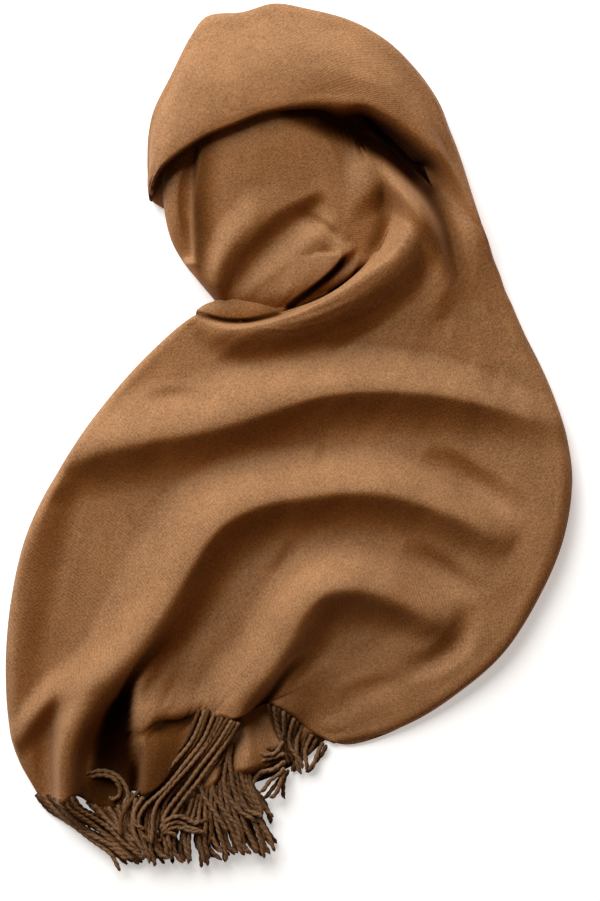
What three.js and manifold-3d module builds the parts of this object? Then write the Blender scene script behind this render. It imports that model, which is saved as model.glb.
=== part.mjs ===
// A faux cashmere scarf dropped in a swirl: millimetres, +Z up, lying on z = 0.
//
// The doubled cloth starts at a fringed hem, fans out over a wide lower drape, narrows up the right
// flank, turns over as the crown, passes under itself and comes back as the inner loop, which is
// tucked under the collar of the drape. Every stretch is a wall of cloth through cross sections that
// run from its inner border to its outer border; its folds are raised on those sections.

import * as THREE from 'three';
import { mergeVertices } from 'three/addons/utils/BufferGeometryUtils.js';
import Module from 'manifold-3d';

const wasm = await Module();
wasm.setup();

// ---------------------------------------------------------------- driving dimensions

const WALL = 2;              // thickness of the brushed cloth
const FLOOR = 0.05;          // the lowest cloth is this far above the floor
const COLOUR = 0x8a5a34;     // camel brown

const FALL_ROWS = 48;        // grid of the front fall: rows along the scarf
const FALL_COLUMNS = 25;     // and columns across its top face
const CROWN_ROWS = 32;
const CROWN_COLUMNS = 10;    // those of the fall beyond its slit
const LOOP_ROWS = 22;
const LOOP_COLUMNS = 15;
const TUCK_COLUMNS = 10;
const ROLL_STEPS = 3;        // facets round a border that is rolled under

// Cross sections of the front fall, from the hem up to the neck. Each has its inner border, middle
// and outer border in plan, the height of the cloth at the three, and the reach of the two rolled
// borders and the height that each is rolled down to.
const FALL = [
  // ix    iy    mx    my    ox    oy   zi  zm  zo  ri  ro  fi  fo
  [-209, -294,  -81, -226,   38, -249,  6,  8,  5,  5,  4,  0,  0],
  [-227, -257,  -60, -189,   87, -239, 11, 10,  9,  6,  6,  0,  0],
  [-234, -208,  -32, -148,  137, -212, 13, 11, 14,  7,  8,  0,  0],
  [-232, -155,   -7, -107,  180, -175, 14, 12, 18,  7, 10,  0,  0],
  [-225, -106,   12,  -69,  210, -126, 14, 12, 20,  7, 11,  0,  0],
  [-212,  -65,   26,  -34,  228,  -81, 14, 12, 22,  7, 12,  0,  0],
  [-189,  -22,   38,   -3,  235,  -36, 15, 12, 22,  7, 12,  0,  0],
  [-156,   27,   49,   24,  231,    1, 16, 13, 23,  7, 12,  0,  0],
  [-115,   73,   60,   46,  221,   34, 17, 14, 24,  7, 12,  0,  0],
  [ -75,  105,   73,   66,  210,   60, 18, 15, 25,  6, 12,  0,  0],
  [ -46,  100,   87,   83,  200,   80, 17, 16, 26,  3, 12,  8,  0],
  [  -5,  107,  101,   98,  192,   98, 18, 18, 27,  3, 12, 14,  0],
  [  27,  121,  114,  112,  186,  112, 19, 20, 28,  3, 11, 15,  0],
  [  51,  139,  124,  124,  180,  125, 20, 22, 28,  3, 11, 16,  0],
  [  66,  159,  132,  138,  175,  139, 21, 24, 29,  3, 10, 17,  0],
  [  69,  186,  134,  157,  170,  151, 22, 25, 29,  3, 10, 18,  0],
  [  62,  216,  132,  181,  166,  163, 21, 24, 29,  3,  9, 17,  0],
  [  48,  249,  124,  198,  163,  171, 19, 20, 28,  3,  9, 15,  0],
  [  34,  284,  113,  214,  160,  179, 17, 16, 27,  3,  9, 13,  0],
];

// Line of the fringed hem: place across the fall, plan position.
const HEM = [
  // across   x     y
  [0.00,   -209, -294],
  [0.08,   -194, -299],
  [0.15,   -181, -290],
  [0.24,   -158, -270],
  [0.34,   -136, -260],
  [0.42,   -124, -241],
  [0.50,   -102, -229],
  [0.62,    -70, -224],
  [0.72,    -46, -229],
  [0.80,    -28, -228],
  [0.88,     -8, -220],
  [0.94,     14, -230],
  [1.00,     38, -249],
];
const HEM_REACH = 2.2;       // sections over which the hem line blends into the fall

// Folds of the front fall. A fold follows its crest; seen along the crest its steep lee side is on
// the right and its back on the left.
const FALL_FOLDS = {
  collar: [
    //  x     y  rise back lee
    [-68,   99,   6,   8, 20],
    [-46,   92,  18,   8, 30],
    [-20,   95,  23,   8, 36],
    [  9,  104,  26,   8, 40],
    [ 36,  117,  27,   9, 42],
    [ 62,  136,  27,  11, 40],
    [ 83,  156,  26,  16, 34],
    [ 94,  180,  24,  22, 28],
    [ 91,  205,  20,  24, 24],
    [ 78,  225,  11,  20, 18],
    [ 62,  240,   1,  16, 16],
  ],
  brow: [
    [-216,  -38,   8,  30, 26],
    [-155,  -22,  18,  40, 28],
    [-114,  -11,  22,  48, 28],
    [ -73,    1,  24,  52, 27],
    [ -40,   13,  25,  52, 26],
    [  -7,   27,  26,  50, 25],
    [  26,   36,  26,  46, 24],
    [  59,   40,  26,  42, 24],
    [  91,   40,  25,  38, 24],
    [ 124,   37,  22,  34, 24],
    [ 157,   30,  17,  30, 24],
    [ 190,   21,  10,  26, 24],
    [ 226,    8,   0,  20, 24],
  ],
  sweep: [
    [-187, -300,  22,  18, 32],
    [-182, -250,  24,  20, 36],
    [-163, -214,  27,  30, 38],
    [-130, -180,  30,  42, 38],
    [-105, -147,  31,  52, 36],
    [ -85, -114,  31,  56, 34],
    [ -68,  -85,  30,  56, 31],
    [ -48,  -65,  28,  52, 28],
    [ -19,  -52,  27,  48, 26],
    [   9,  -47,  26,  44, 24],
    [  42,  -43,  25,  40, 23],
    [  75,  -43,  24,  38, 22],
    [ 108,  -52,  21,  34, 22],
    [ 141,  -65,  16,  30, 22],
    [ 165,  -77,   9,  24, 22],
    [ 186,  -88,   0,  20, 22],
  ],
  knee: [
    [-46, -240,  18,  40, 18],
    [-38, -215,  20,  40, 20],
    [-15, -188,  23,  40, 22],
    [  1, -163,  25,  42, 23],
    [  9, -147,  26,  42, 24],
    [ 26, -128,  26,  40, 24],
    [ 46, -122,  25,  38, 24],
    [ 71, -125,  22,  34, 23],
    [ 91, -134,  18,  28, 22],
    [116, -148,  10,  24, 20],
    [132, -160,   0,  20, 18],
  ],
  middle_edge: [
    [-112, -262,  16,  16, 50],
    [-113, -232,  17,  16, 54],
    [-106, -206,  13,  18, 54],
    [ -90, -184,   6,  18, 46],
    [ -74, -166,   0,  18, 40],
  ],
  left_branch: [
    [-222, -252,   8,  14, 18],
    [-199, -224,  12,  20, 22],
    [-163, -202,  10,  24, 22],
    [-128, -186,   0,  24, 22],
  ],
  left_rim: [
    [-228, -220,   3,  10, 18],
    [-225, -163,   6,  10, 20],
    [-217,  -98,   7,  10, 22],
    [-203,  -58,   6,  10, 22],
    [-186,  -32,   0,  10, 22],
  ],
  right_hem: [
    [ -14, -226,  12,  14, 34],
    [   4, -200,   8,  16, 34],
    [  26, -172,   0,  18, 34],
  ],
  shoulder: [
    [ 62,  246,   1,  12, 14],
    [ 92,  224,   9,  12, 14],
    [112,  202,  12,  13, 13],
    [124,  180,  12,  14, 12],
    [129,  155,  10,  16, 12],
    [129,  126,   6,  18, 12],
    [124,   96,   0,  18, 12],
  ],
  flank: [
    [126,  244,   7,   9, 10],
    [138,  222,   7,   9, 10],
    [147,  202,   7,   9, 10],
    [154,  178,   7,  10, 10],
    [160,  150,   5,  12, 12],
    [168,  120,   0,  14, 14],
  ],
};

const FALL_TROUGHS = {
  shoulder_valley: [
    [124,  200,  -6,  10, 12],
    [133,  178,  -6,  10, 12],
    [139,  156,  -5,  10, 12],
    [142,  124,  -4,  12, 14],
    [135,   90,  -2,  12, 14],
    [126,   62,   0,  12, 14],
  ],
  brow_trough: [
    [112,  -12,   0,  14, 16],
    [134,  -22,  -4,  14, 16],
    [158,  -36,  -5,  14, 16],
    [196,  -62,   0,  14, 16],
  ],
  knee_trough: [
    [ 98,  -88,   0,  12, 14],
    [122, -102,  -4,  12, 14],
    [140, -116,  -4,  12, 14],
    [158, -130,   0,  12, 14],
  ],
  knee_end: [
    [ 92, -192,   0,  16, 14],
    [124, -181,  -6,  16, 14],
    [144, -162,  -6,  16, 14],
    [150, -128,   0,  16, 14],
  ],
  border_trough: [
    [ 28, -250,   0,  14, 16],
    [ 44, -222,  -2,  16, 16],
    [ 70, -206,  -2,  16, 16],
    [104, -200,   0,  16, 16],
  ],
};

// Cross sections of the crown, from the flank round to its left end. The cloth climbs from an inner
// end over a ridge to the outer border: the inner end lies `reach` in front of the ridge (negative
// where the lip is rolled under), at height `foot`, and the lip bulges by `bulge`.
const CROWN = [
  // rx   ry    ox   oy   zr  zm  zo  ro reach foot bulge
  [ 149, 198,  159, 187,  33, 32, 27,  9,  34,  18,  14],
  [ 142, 213,  151, 206,  35, 34, 27,  9,  40,  18,  15],
  [ 131, 234,  142, 232,  39, 37, 28, 10,  44,  18,  17],
  [ 119, 250,  133, 254,  42, 40, 29, 11,  40,  24,  18],
  [ 103, 266,  123, 281,  47, 44, 30, 12,  32,  29,  18],
  [  82, 279,  104, 308,  52, 48, 31, 13,  26,  30,  16],
  [  57, 285,   80, 330,  56, 51, 32, 14,  18,  26,  14],
  [  31, 286,   50, 346,  58, 53, 33, 15,   6,  34,  12],
  [   5, 283,   15, 355,  60, 54, 34, 15,  -4,  40,  12],
  [ -20, 278,  -12, 359,  60, 54, 34, 15,  -7,  41,  12],
  [ -44, 270,  -38, 351,  60, 54, 34, 15,  -8,  41,  12],
  [ -65, 262,  -66, 349,  59, 53, 33, 15,  -8,  41,  11],
  [ -82, 252,  -80, 334,  57, 51, 31, 14,  -8,  39,  10],
  [ -95, 242,  -93, 307,  52, 47, 28, 12,  -7,  34,   9],
  [-104, 230, -107, 283,  43, 40, 24,  9,  -6,  26,   7],
  [-110, 219, -115, 266,  30, 28, 18,  5,  -4,  16,   5],
  [-114, 210, -117, 257,  16, 15, 10,  3,  -2,   8,   3],
  [-113, 207, -115, 254,   5,  5,  4,  2,  -1,   3,   1],
];
const SLIT = 0.6;            // the crown goes on from this part of the fall's last section, outwards
const CROWN_START = 0.28;    // section at which its wall starts, clear of the fall's last one
const CROWN_BLEND = 2.5;     // sections over which it takes up its own form
const CROWN_CARRY = 1.5;     // sections of the fall that one section of the crown goes on from it

// Cross sections of the inner loop, from the pinch at the collar up to where the crown covers it.
const LOOP = [
  // ix   iy    mx   my    ox   oy  zi  zm  zo  ri  ro  fi  fo
  [ -55, 113,  -22, 110,    6, 114, 13, 14, 10,  5,  2,  0,  6],
  [ -64, 121,  -12, 119,   30, 127, 25, 25, 13,  9,  2,  0,  9],
  [ -75, 133,   -6, 134,   49, 142, 32, 31, 15, 11,  2,  0, 11],
  [ -87, 148,   -4, 155,   62, 162, 35, 35, 16, 12,  2,  0, 12],
  [ -97, 166,   -4, 178,   65, 186, 37, 37, 17, 12,  2,  0, 13],
  [-102, 186,   -5, 203,   60, 210, 38, 38, 18, 12,  2,  0, 14],
  [-104, 210,   -6, 226,   50, 232, 38, 38, 19, 12,  2,  0, 15],
  [-101, 232,   -8, 250,   38, 254, 37, 36, 20, 12,  2,  0, 16],
  [ -93, 252,  -10, 274,   26, 276, 34, 33, 20, 12,  2,  0, 16],
];
const LOOP_TROUGHS = {
  left_crease: [
    [-72,  122,   0,  14,  6],
    [-76,  145,  -7,  17,  7],
    [-79,  172,  -9,  20,  7],
    [-81,  205,  -9,  20,  7],
    [-80,  240,  -6,  20,  8],
  ],
  diagonal: [
    [-52,  120,   0,  10, 10],
    [-42,  138,  -7,  13, 12],
    [-22,  158,  -9,  17, 14],
    [  1,  177,  -8,  18, 14],
    [ 20,  197,   0,  16, 12],
  ],
};
const LOOP_FOLDS = {
  flap: [
    [-10,  104,   6,  26,  7],
    [ 12,  117,  12,  30,  7],
    [ 30,  133,  14,  30,  7],
    [ 42,  149,  11,  26,  8],
    [ 38,  162,   4,  22, 12],
    [ 26,  168,   0,  20, 12],
  ],
};

// The ply that shows between the loop's lower border and the collar: its front edge, its back edge
// in plan, and the height of the front edge. The back edge is lower.
const TUCK = [
  //  fx   fy     bx   by    z
  [-76.0, 109.5, -75.0, 112.0, 10],
  [-64.0, 106.6, -63.0, 111.0, 17],
  [-46.0, 103.0, -45.0, 109.5, 20],
  [-26.0, 104.8, -26.0, 107.6, 20],
  [ -8.0, 108.2,  -8.0, 109.2, 17],
];
const TUCK_SLOPE = 1;

// Hidden layers: the heap under the drape and the heap under the loop and crown, each seen from a
// middle point, and the end of the lower ply that shows beside the hem.
const DRAPE_HEART = [20, -60];
const CROWN_HEART = [0, 215];
const LAYER_INSET = 10;      // hidden layers end this far inside a rolled border
const LAYER_PLY = 2.6;       // thickness of one layer at their edges
const LAYER_BEVEL = 0.3;     // half the height of the groove between two layers
const LAYER_GROOVE = 0.988;  // the groove's place between the middle point and the edge
const LAYER_RINGS = [0.82, 0.6, 0.36, 0.16];
const COVER_REACH = 24;      // the layers stay below the lowest cloth within this distance
const COVER_CLEARANCE = 6;   // for the thickness of that cloth on a slope, and air
const LOWER_PLY = [[-60, -190], [-104, -228], [-108, -262], [-84, -284], [-52, -290], [-30, -264],
  [-4, -240], [10, -200]];

// Fringe: each group hangs on a narrow strip along a hem. A pair of values is the first strand's and
// the last strand's: place across the hem, bearing in degrees from +X at the start and at the end,
// length, and height that it comes to rest at. A larger sink comes to rest sooner.
const STRAND_RADIUS = 1.5;
const STRAND_STEPS = 5;
const STRAND_LEAD = 1.5;     // a strand runs on straight this far beyond its strip
const STRAND_TIP = 0.6;      // radius of a tip as a part of the strand's
const STRIP_DEPTH = 3;
const STRIP_GAP = 1.4;       // from the hem to the strip
const FRINGE = {
  fringe_left: {
    edge: hemPoint, place: [0.015, 0.17], count: 10,
    start: [-50, -46], end: [-33, -29], length: [80, 92], rest: [2.4, 2.6], sink: 3.2,
  },
  fringe_hollow: {
    edge: hemPoint, place: [0.22, 0.34], count: 8,
    start: [-82, -72], end: [-56, -44], length: [88, 94], rest: [7.5, 7.5], sink: 1.6,
  },
  fringe_middle: {
    edge: hemPoint, place: [0.46, 0.73], count: 18,
    start: [-126, -120], end: [-66, -58], length: [106, 112], rest: [12.5, 12.5], sink: 1.3,
  },
  fringe_right: {
    edge: hemPoint, place: [0.81, 0.985], count: 13,
    start: [-112, -102], end: [-98, -78], length: [82, 66], rest: [8, 6], sink: 1.6,
  },
  fringe_lower: {
    edge: lowerEdge, place: [0.32, 0.66], count: 14,
    start: [-72, -50], end: [-46, -44], length: [80, 84], rest: [2.2, 2.2], sink: 1.6,
  },
};

// ---------------------------------------------------------------- curves and folds

// Value at row t of a column of a table, on the Catmull-Rom curve through its rows. Past the ends it
// goes on straight.
function along(table, column, t) {
  const last = table.length - 1;
  const k = Math.min(Math.max(Math.floor(t), 0), last - 1);
  const f = t - k;
  const p1 = table[k][column];
  const p2 = table[k + 1][column];
  const p0 = k > 0 ? table[k - 1][column] : 2 * p1 - p2;
  const p3 = k + 2 <= last ? table[k + 2][column] : 2 * p2 - p1;
  if (f < 0 || f > 1) {
    const slope = f < 0 ? (p2 - p0) / 2 : (p3 - p1) / 2;
    return f < 0 ? p1 + f * slope : p2 + (f - 1) * slope;
  }
  return 0.5 * (2 * p1 + f * (p2 - p0)
    + f * f * (2 * p0 - 5 * p1 + 4 * p2 - p3)
    + f * f * f * (3 * p1 - p0 - 3 * p2 + p3));
}

// Row at which a steadily rising first column of a table takes the value s.
function rowOf(table, s) {
  let k = 0;
  while (k < table.length - 2 && table[k + 1][0] < s) {
    k += 1;
  }
  return k + (s - table[k][0]) / (table[k + 1][0] - table[k][0]);
}

// Value at v on the parabola through a at 0, b at a half and c at 1.
function parabola(a, b, c, v) {
  return a * (1 - v) * (1 - 2 * v) + 4 * b * v * (1 - v) + c * v * (2 * v - 1);
}

function smooth(t) {
  const f = Math.min(Math.max(t, 0), 1);
  return f * f * (3 - 2 * f);
}

const CREST_STEPS = 4;       // straight pieces between two rows of a fold's table

function crestLine(rows) {
  const line = [];
  for (let i = 0; i <= (rows.length - 1) * CREST_STEPS; i += 1) {
    line.push([0, 1, 2, 3, 4].map((column) => along(rows, column, i / CREST_STEPS)));
  }
  return line;
}

// Height that a fold adds at a place in plan: a bell across its nearest point, as wide on either
// side as the table says there.
function foldHeight(line, x, y) {
  let best = Infinity;
  let height = 0;
  for (let i = 0; i + 1 < line.length; i += 1) {
    const [ax, ay] = line[i];
    const dx = line[i + 1][0] - ax;
    const dy = line[i + 1][1] - ay;
    const f = Math.min(Math.max(((x - ax) * dx + (y - ay) * dy) / (dx * dx + dy * dy), 0), 1);
    const px = x - ax - f * dx;
    const py = y - ay - f * dy;
    const distance = Math.hypot(px, py);
    if (distance < best) {
      best = distance;
      const side = dx * py - dy * px > 0 ? 3 : 4;
      const width = line[i][side] + f * (line[i + 1][side] - line[i][side]);
      const rise = line[i][2] + f * (line[i + 1][2] - line[i][2]);
      height = distance < width ? rise * (1 + Math.cos(Math.PI * distance / width)) / 2 : 0;
    }
  }
  return height;
}

const FALL_DIPS = Object.values(FALL_TROUGHS).map(crestLine);
const FALL_CRESTS = [...Object.values(FALL_FOLDS).map(crestLine), ...FALL_DIPS];
const LOOP_DIPS = Object.values(LOOP_TROUGHS).map(crestLine);
const LOOP_CRESTS = [...Object.values(LOOP_FOLDS).map(crestLine), ...LOOP_DIPS];

function foldsAt(crests, x, y) {
  return crests.reduce((sum, line) => sum + foldHeight(line, x, y), 0);
}

// ---------------------------------------------------------------- surfaces

// Plan position at v across a section of a table whose first six columns are the inner border,
// middle and outer border.
function planOf(table, u, v) {
  const c = [0, 1, 2, 3, 4, 5].map((column) => along(table, column, u));
  return [parabola(c[0], c[2], c[4], v), parabola(c[1], c[3], c[5], v)];
}

function fallPlan(u, v) {
  const [x, y] = planOf(FALL, u, v);
  const pull = 1 - smooth(u / HEM_REACH);
  if (pull <= 0) {
    return [x, y];
  }
  const row = rowOf(HEM, v);
  const [qx, qy] = planOf(FALL, 0, v);
  return [x + pull * (along(HEM, 1, row) - qx), y + pull * (along(HEM, 2, row) - qy)];
}

function loopPlan(u, v) {
  return planOf(LOOP, u, v);
}

// A point of a stretch whose two borders are rolled under. Its top face runs from v = 0 to 1
// between the two rolls; v below 0 or above 1 goes round a roll, by one for its whole half turn.
function rolledPoint(table, plan, crests, u, v) {
  const inner = along(table, 9, u);
  const outer = along(table, 10, u);
  const [ax, ay] = plan(u, 0);
  const [bx, by] = plan(u, 1);
  const width = Math.hypot(bx - ax, by - ay);
  const from = inner / width;
  const to = 1 - outer / width;
  const clamped = Math.min(Math.max(v, 0), 1);
  const place = from + (to - from) * clamped;
  const [x, y] = plan(u, place);
  const base = parabola(along(table, 6, u), along(table, 7, u), along(table, 8, u), clamped);
  const z = base + foldsAt(crests, x, y);
  if (v >= 0 && v <= 1) {
    return new THREE.Vector3(x, y, z);
  }
  const end = v < 0 ? 0 : 1;
  const [ex, ey] = plan(u, end);
  const turn = Math.PI * (v < 0 ? -v : v - 1);
  const foot = Math.min(along(table, v < 0 ? 11 : 12, u) + FLOOR, z);
  return new THREE.Vector3(
    x + (ex - x) * Math.sin(turn),
    y + (ey - y) * Math.sin(turn),
    foot + (z - foot) * (1 + Math.cos(turn)) / 2);
}

function fallPoint(u, v) {
  return rolledPoint(FALL, fallPlan, FALL_CRESTS, u, v);
}

function loopPoint(u, v) {
  return rolledPoint(LOOP, loopPlan, LOOP_CRESTS, u, v);
}

// A point of the crown: w from -1 to 0 climbs from the inner end to the ridge, 0 to 1 crosses the
// top, and 1 to 2 goes round the outer border.
function crownOwnPoint(s, w) {
  const [rx, ry, ox, oy, zr, zm, zo, ro, reach, foot, bulge] =
    CROWN[0].map((_, column) => along(CROWN, column, s));
  const width = Math.hypot(ox - rx, oy - ry);
  const dx = (ox - rx) / width;
  const dy = (oy - ry) / width;
  const top = Math.max(width - ro, 1);
  if (w < 0) {
    const f = -w;
    const out = 3 * bulge * f * (1 - f) + reach * f * f * f;
    const fall = f * f * (3 - 2 * f);
    return new THREE.Vector3(rx - dx * out, ry - dy * out, zr + (foot - zr) * fall);
  }
  if (w <= 1) {
    return new THREE.Vector3(rx + dx * top * w, ry + dy * top * w, parabola(zr, zm, zo, w));
  }
  const turn = Math.PI * (w - 1);
  const low = Math.min(FLOOR, zo);
  const d = top + (width - top) * Math.sin(turn);
  return new THREE.Vector3(rx + dx * d, ry + dy * d, low + (zo - low) * (1 + Math.cos(turn)) / 2);
}

const FALL_END = FALL.length - 1;

function crownPoint(s, w) {
  const own = crownOwnPoint(s, w);
  const share = smooth(s / CROWN_BLEND);
  if (share >= 1) {
    return own;
  }
  const v = w <= 1 ? SLIT + (1 - SLIT) * (w + 1) / 2 : w;
  const start = fallPoint(FALL_END + CROWN_CARRY * s, v);
  return start.lerp(own, share);
}

// ---------------------------------------------------------------- solids

// Grid of points: rows u of the list, columns v of the list.
function gridOf(point, us, vs) {
  return us.map((u) => vs.map((v) => point(u, v)));
}

function steps(from, to, count) {
  return Array.from({ length: count + 1 }, (_, i) => from + (to - from) * i / count);
}

function normalsOf(grid) {
  const rows = grid.length;
  const columns = grid[0].length;
  return grid.map((row, r) => row.map((_, c) => {
    const up = grid[Math.min(r + 1, rows - 1)][c].clone().sub(grid[Math.max(r - 1, 0)][c]);
    const over = row[Math.min(c + 1, columns - 1)].clone().sub(row[Math.max(c - 1, 0)]);
    return over.cross(up).normalize();
  }));
}

// Closed mesh between two grids of the same size, one the upper face and one the lower. Both faces
// are split along the shorter diagonals of the grid that they were offset from.
function closedBetween(upper, lower, grid) {
  const rows = upper.length;
  const columns = upper[0].length;
  const points = [...upper.flat(), ...lower.flat()];
  const triangles = [];
  const at = (r, c, side) => side * rows * columns + r * columns + c;
  const quad = (a, b, c, d, cut = true) => {
    triangles.push(...(cut ? [a, b, c, a, c, d] : [b, c, d, b, d, a]));
  };
  for (let r = 0; r + 1 < rows; r += 1) {
    for (let c = 0; c + 1 < columns; c += 1) {
      const rising = grid[r][c].distanceTo(grid[r + 1][c + 1]);
      const falling = grid[r][c + 1].distanceTo(grid[r + 1][c]);
      const cut = rising <= falling;
      quad(at(r, c, 0), at(r, c + 1, 0), at(r + 1, c + 1, 0), at(r + 1, c, 0), cut);
      quad(at(r, c, 1), at(r + 1, c, 1), at(r + 1, c + 1, 1), at(r, c + 1, 1), cut);
    }
    quad(at(r, 0, 0), at(r + 1, 0, 0), at(r + 1, 0, 1), at(r, 0, 1));
    quad(at(r, columns - 1, 1), at(r + 1, columns - 1, 1),
      at(r + 1, columns - 1, 0), at(r, columns - 1, 0));
  }
  for (let c = 0; c + 1 < columns; c += 1) {
    quad(at(0, c, 1), at(0, c + 1, 1), at(0, c + 1, 0), at(0, c, 0));
    quad(at(rows - 1, c, 0), at(rows - 1, c + 1, 0), at(rows - 1, c + 1, 1), at(rows - 1, c, 1));
  }
  return geometryOf(points, triangles);
}

function geometryOf(points, triangles) {
  const geometry = new THREE.BufferGeometry();
  const flat = new Float32Array(points.flatMap((p) => [p.x, p.y, p.z]));
  geometry.setAttribute('position', new THREE.BufferAttribute(flat, 3));
  geometry.setIndex(triangles);
  return geometry;
}

// Wall of cloth whose upper face is a grid of points; it's flat where it meets the floor.
function wallOf(grid) {
  const normals = normalsOf(grid);
  const moved = (offset) => grid.map((row, r) => row.map((p, c) => {
    const q = p.clone().addScaledVector(normals[r][c], offset);
    q.z = Math.max(q.z, FLOOR);
    return q;
  }));
  return closedBetween(moved(0), moved(-WALL), grid);
}

function solidOf(geometry) {
  geometry.deleteAttribute('normal');
  geometry.deleteAttribute('uv');
  const merged = mergeVertices(geometry, 1e-3);
  return new wasm.Manifold(new wasm.Mesh({
    numProp: 3,
    vertProperties: new Float32Array(merged.attributes.position.array),
    triVerts: new Uint32Array(merged.index.array),
  }));
}

function geometryFrom(solid) {
  const mesh = solid.getMesh();
  const geometry = new THREE.BufferGeometry();
  const positions = new Float32Array(mesh.vertProperties);
  geometry.setAttribute('position', new THREE.BufferAttribute(positions, 3));
  geometry.setIndex(Array.from(mesh.triVerts));
  return geometry;
}

function joined(geometries) {
  return geometries.map(solidOf).reduce((sum, solid) => sum.add(solid));
}

const rollOut = steps(0, 1, ROLL_STEPS).slice(1);
const rollIn = [...rollOut].reverse().map((t) => -t);

const FALL_ACROSS = [...rollIn, ...steps(0, 1, FALL_COLUMNS), ...rollOut.map((t) => 1 + t)];

function frontFall() {
  return wallOf(gridOf(fallPoint, steps(0, FALL_END, FALL_ROWS), FALL_ACROSS));
}

function crownTurn() {
  const vs = [...steps(-1, 1, CROWN_COLUMNS), ...rollOut.map((t) => 1 + t)];
  const us = steps(CROWN_START, CROWN.length - 1, CROWN_ROWS);
  return wallOf(gridOf(crownPoint, us, vs));
}

function innerLoop() {
  const vs = [...rollIn, ...steps(0, 1, LOOP_COLUMNS), 1.5];
  return wallOf(gridOf(loopPoint, steps(0, LOOP.length - 1, LOOP_ROWS), vs));
}

function tuckPly() {
  const us = steps(0, TUCK.length - 1, TUCK_COLUMNS);
  const front = us.map((u) => new THREE.Vector3(...[0, 1, 4].map((c) => along(TUCK, c, u))));
  const back = us.map((u) => new THREE.Vector3(...[2, 3, 4].map((c) => along(TUCK, c, u))));
  back.forEach((p) => {
    p.z -= TUCK_SLOPE;
  });
  return wallOf([front, back]);
}

// ---------------------------------------------------------------- hidden layers

// Points of the outer cloth with its troughs but without its folds, under which the layers lie.
function coverPoints() {
  const across = steps(0, 1, 16);
  const fall = (u, v) => rolledPoint(FALL, fallPlan, FALL_DIPS, u, v);
  const loop = (u, v) => rolledPoint(LOOP, loopPlan, LOOP_DIPS, u, v);
  return [
    ...gridOf(fall, steps(0, FALL_END, 40), across),
    ...gridOf(crownOwnPoint, steps(1, CROWN.length - 1, CROWN_ROWS), steps(-1, 1, 10)),
    ...gridOf(loop, steps(0, LOOP.length - 1, LOOP_ROWS), across),
  ].flat();
}

const COVER = coverPoints();

function layersTop(x, y) {
  let low = Infinity;
  for (const p of COVER) {
    if (p.z < low && Math.hypot(p.x - x, p.y - y) < COVER_REACH) {
      low = p.z;
    }
  }
  return Math.max(low - COVER_CLEARANCE, LAYER_PLY + LAYER_BEVEL);
}

// Heap of layers round a middle point: flat below, stepped at the edge, and below the outer cloth.
function heap([cx, cy], outline) {
  const ring = (fraction, height) => outline.map(([x, y]) => {
    const px = cx + (x - cx) * fraction;
    const py = cy + (y - cy) * fraction;
    return new THREE.Vector3(px, py, height(px, py));
  });
  const edgeTop = (x, y) => Math.min(layersTop(x, y), 2 * LAYER_PLY);
  const rings = [
    ring(1, () => 0),
    ring(1, () => LAYER_PLY - LAYER_BEVEL),
    ring(LAYER_GROOVE, () => LAYER_PLY - LAYER_BEVEL / 2),
    ring(1, () => LAYER_PLY),
    ring(1, edgeTop),
    ...LAYER_RINGS.map((fraction) => ring(fraction, layersTop)),
  ];
  const count = outline.length;
  const points = rings.flat();
  points.push(new THREE.Vector3(cx, cy, layersTop(cx, cy)), new THREE.Vector3(cx, cy, 0));
  const top = points.length - 2;
  const bottom = points.length - 1;
  const triangles = [];
  for (let i = 0; i < count; i += 1) {
    const j = (i + 1) % count;
    for (let r = 0; r + 1 < rings.length; r += 1) {
      const [a, b, c, d] = [r * count + i, r * count + j, (r + 1) * count + j, (r + 1) * count + i];
      triangles.push(a, b, c, a, c, d);
    }
    const last = (rings.length - 1) * count;
    triangles.push(last + i, last + j, top, j, i, bottom);
  }
  return geometryOf(points, triangles);
}

// Plan point just inside a rolled border of a stretch, at row u; side 0 is inner and 1 outer.
function insideBorder(plan, table, u, side) {
  const [ax, ay] = plan(u, 0);
  const [bx, by] = plan(u, 1);
  const width = Math.hypot(bx - ax, by - ay);
  const inset = (along(table, 9 + side, u) + LAYER_INSET) / width;
  return plan(u, side === 0 ? inset : 1 - inset);
}

function drapeOutline() {
  const outer = steps(1.6, 15, 14).map((u) => insideBorder(fallPlan, FALL, u, 1));
  const inner = steps(11, 1.2, 12).map((u) => insideBorder(fallPlan, FALL, u, 0));
  return [...outer, ...inner];
}

function crownOutline() {
  const crown = steps(1, 11.5, 14).map((s) => {
    const [rx, ry, ox, oy] = [0, 1, 2, 3].map((column) => along(CROWN, column, s));
    const f = (along(CROWN, 7, s) + LAYER_INSET) / Math.hypot(ox - rx, oy - ry);
    return [ox + (rx - ox) * f, oy + (ry - oy) * f];
  });
  const loop = steps(7.4, 1, 6).map((u) => insideBorder(loopPlan, LOOP, u, 0));
  const collar = steps(11.5, 15, 4).map((u) => fallPlan(u, 0.3));
  return [...crown, ...loop, ...collar];
}

function lowerPly() {
  const outline = steps(0, 1, 32).slice(0, -1).map((t) => lowerEdge(t, 0));
  const shape = new THREE.Shape(outline.map((p) => new THREE.Vector2(p.x, p.y)));
  return new THREE.ExtrudeGeometry(shape, { depth: LAYER_PLY, bevelEnabled: false });
}

function underLayers() {
  const heaps = [heap(DRAPE_HEART, drapeOutline()), heap(CROWN_HEART, crownOutline()), lowerPly()];
  return geometryFrom(joined(heaps));
}

// ---------------------------------------------------------------- fringe

function mix([a, b], t) {
  return a + (b - a) * t;
}

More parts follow.
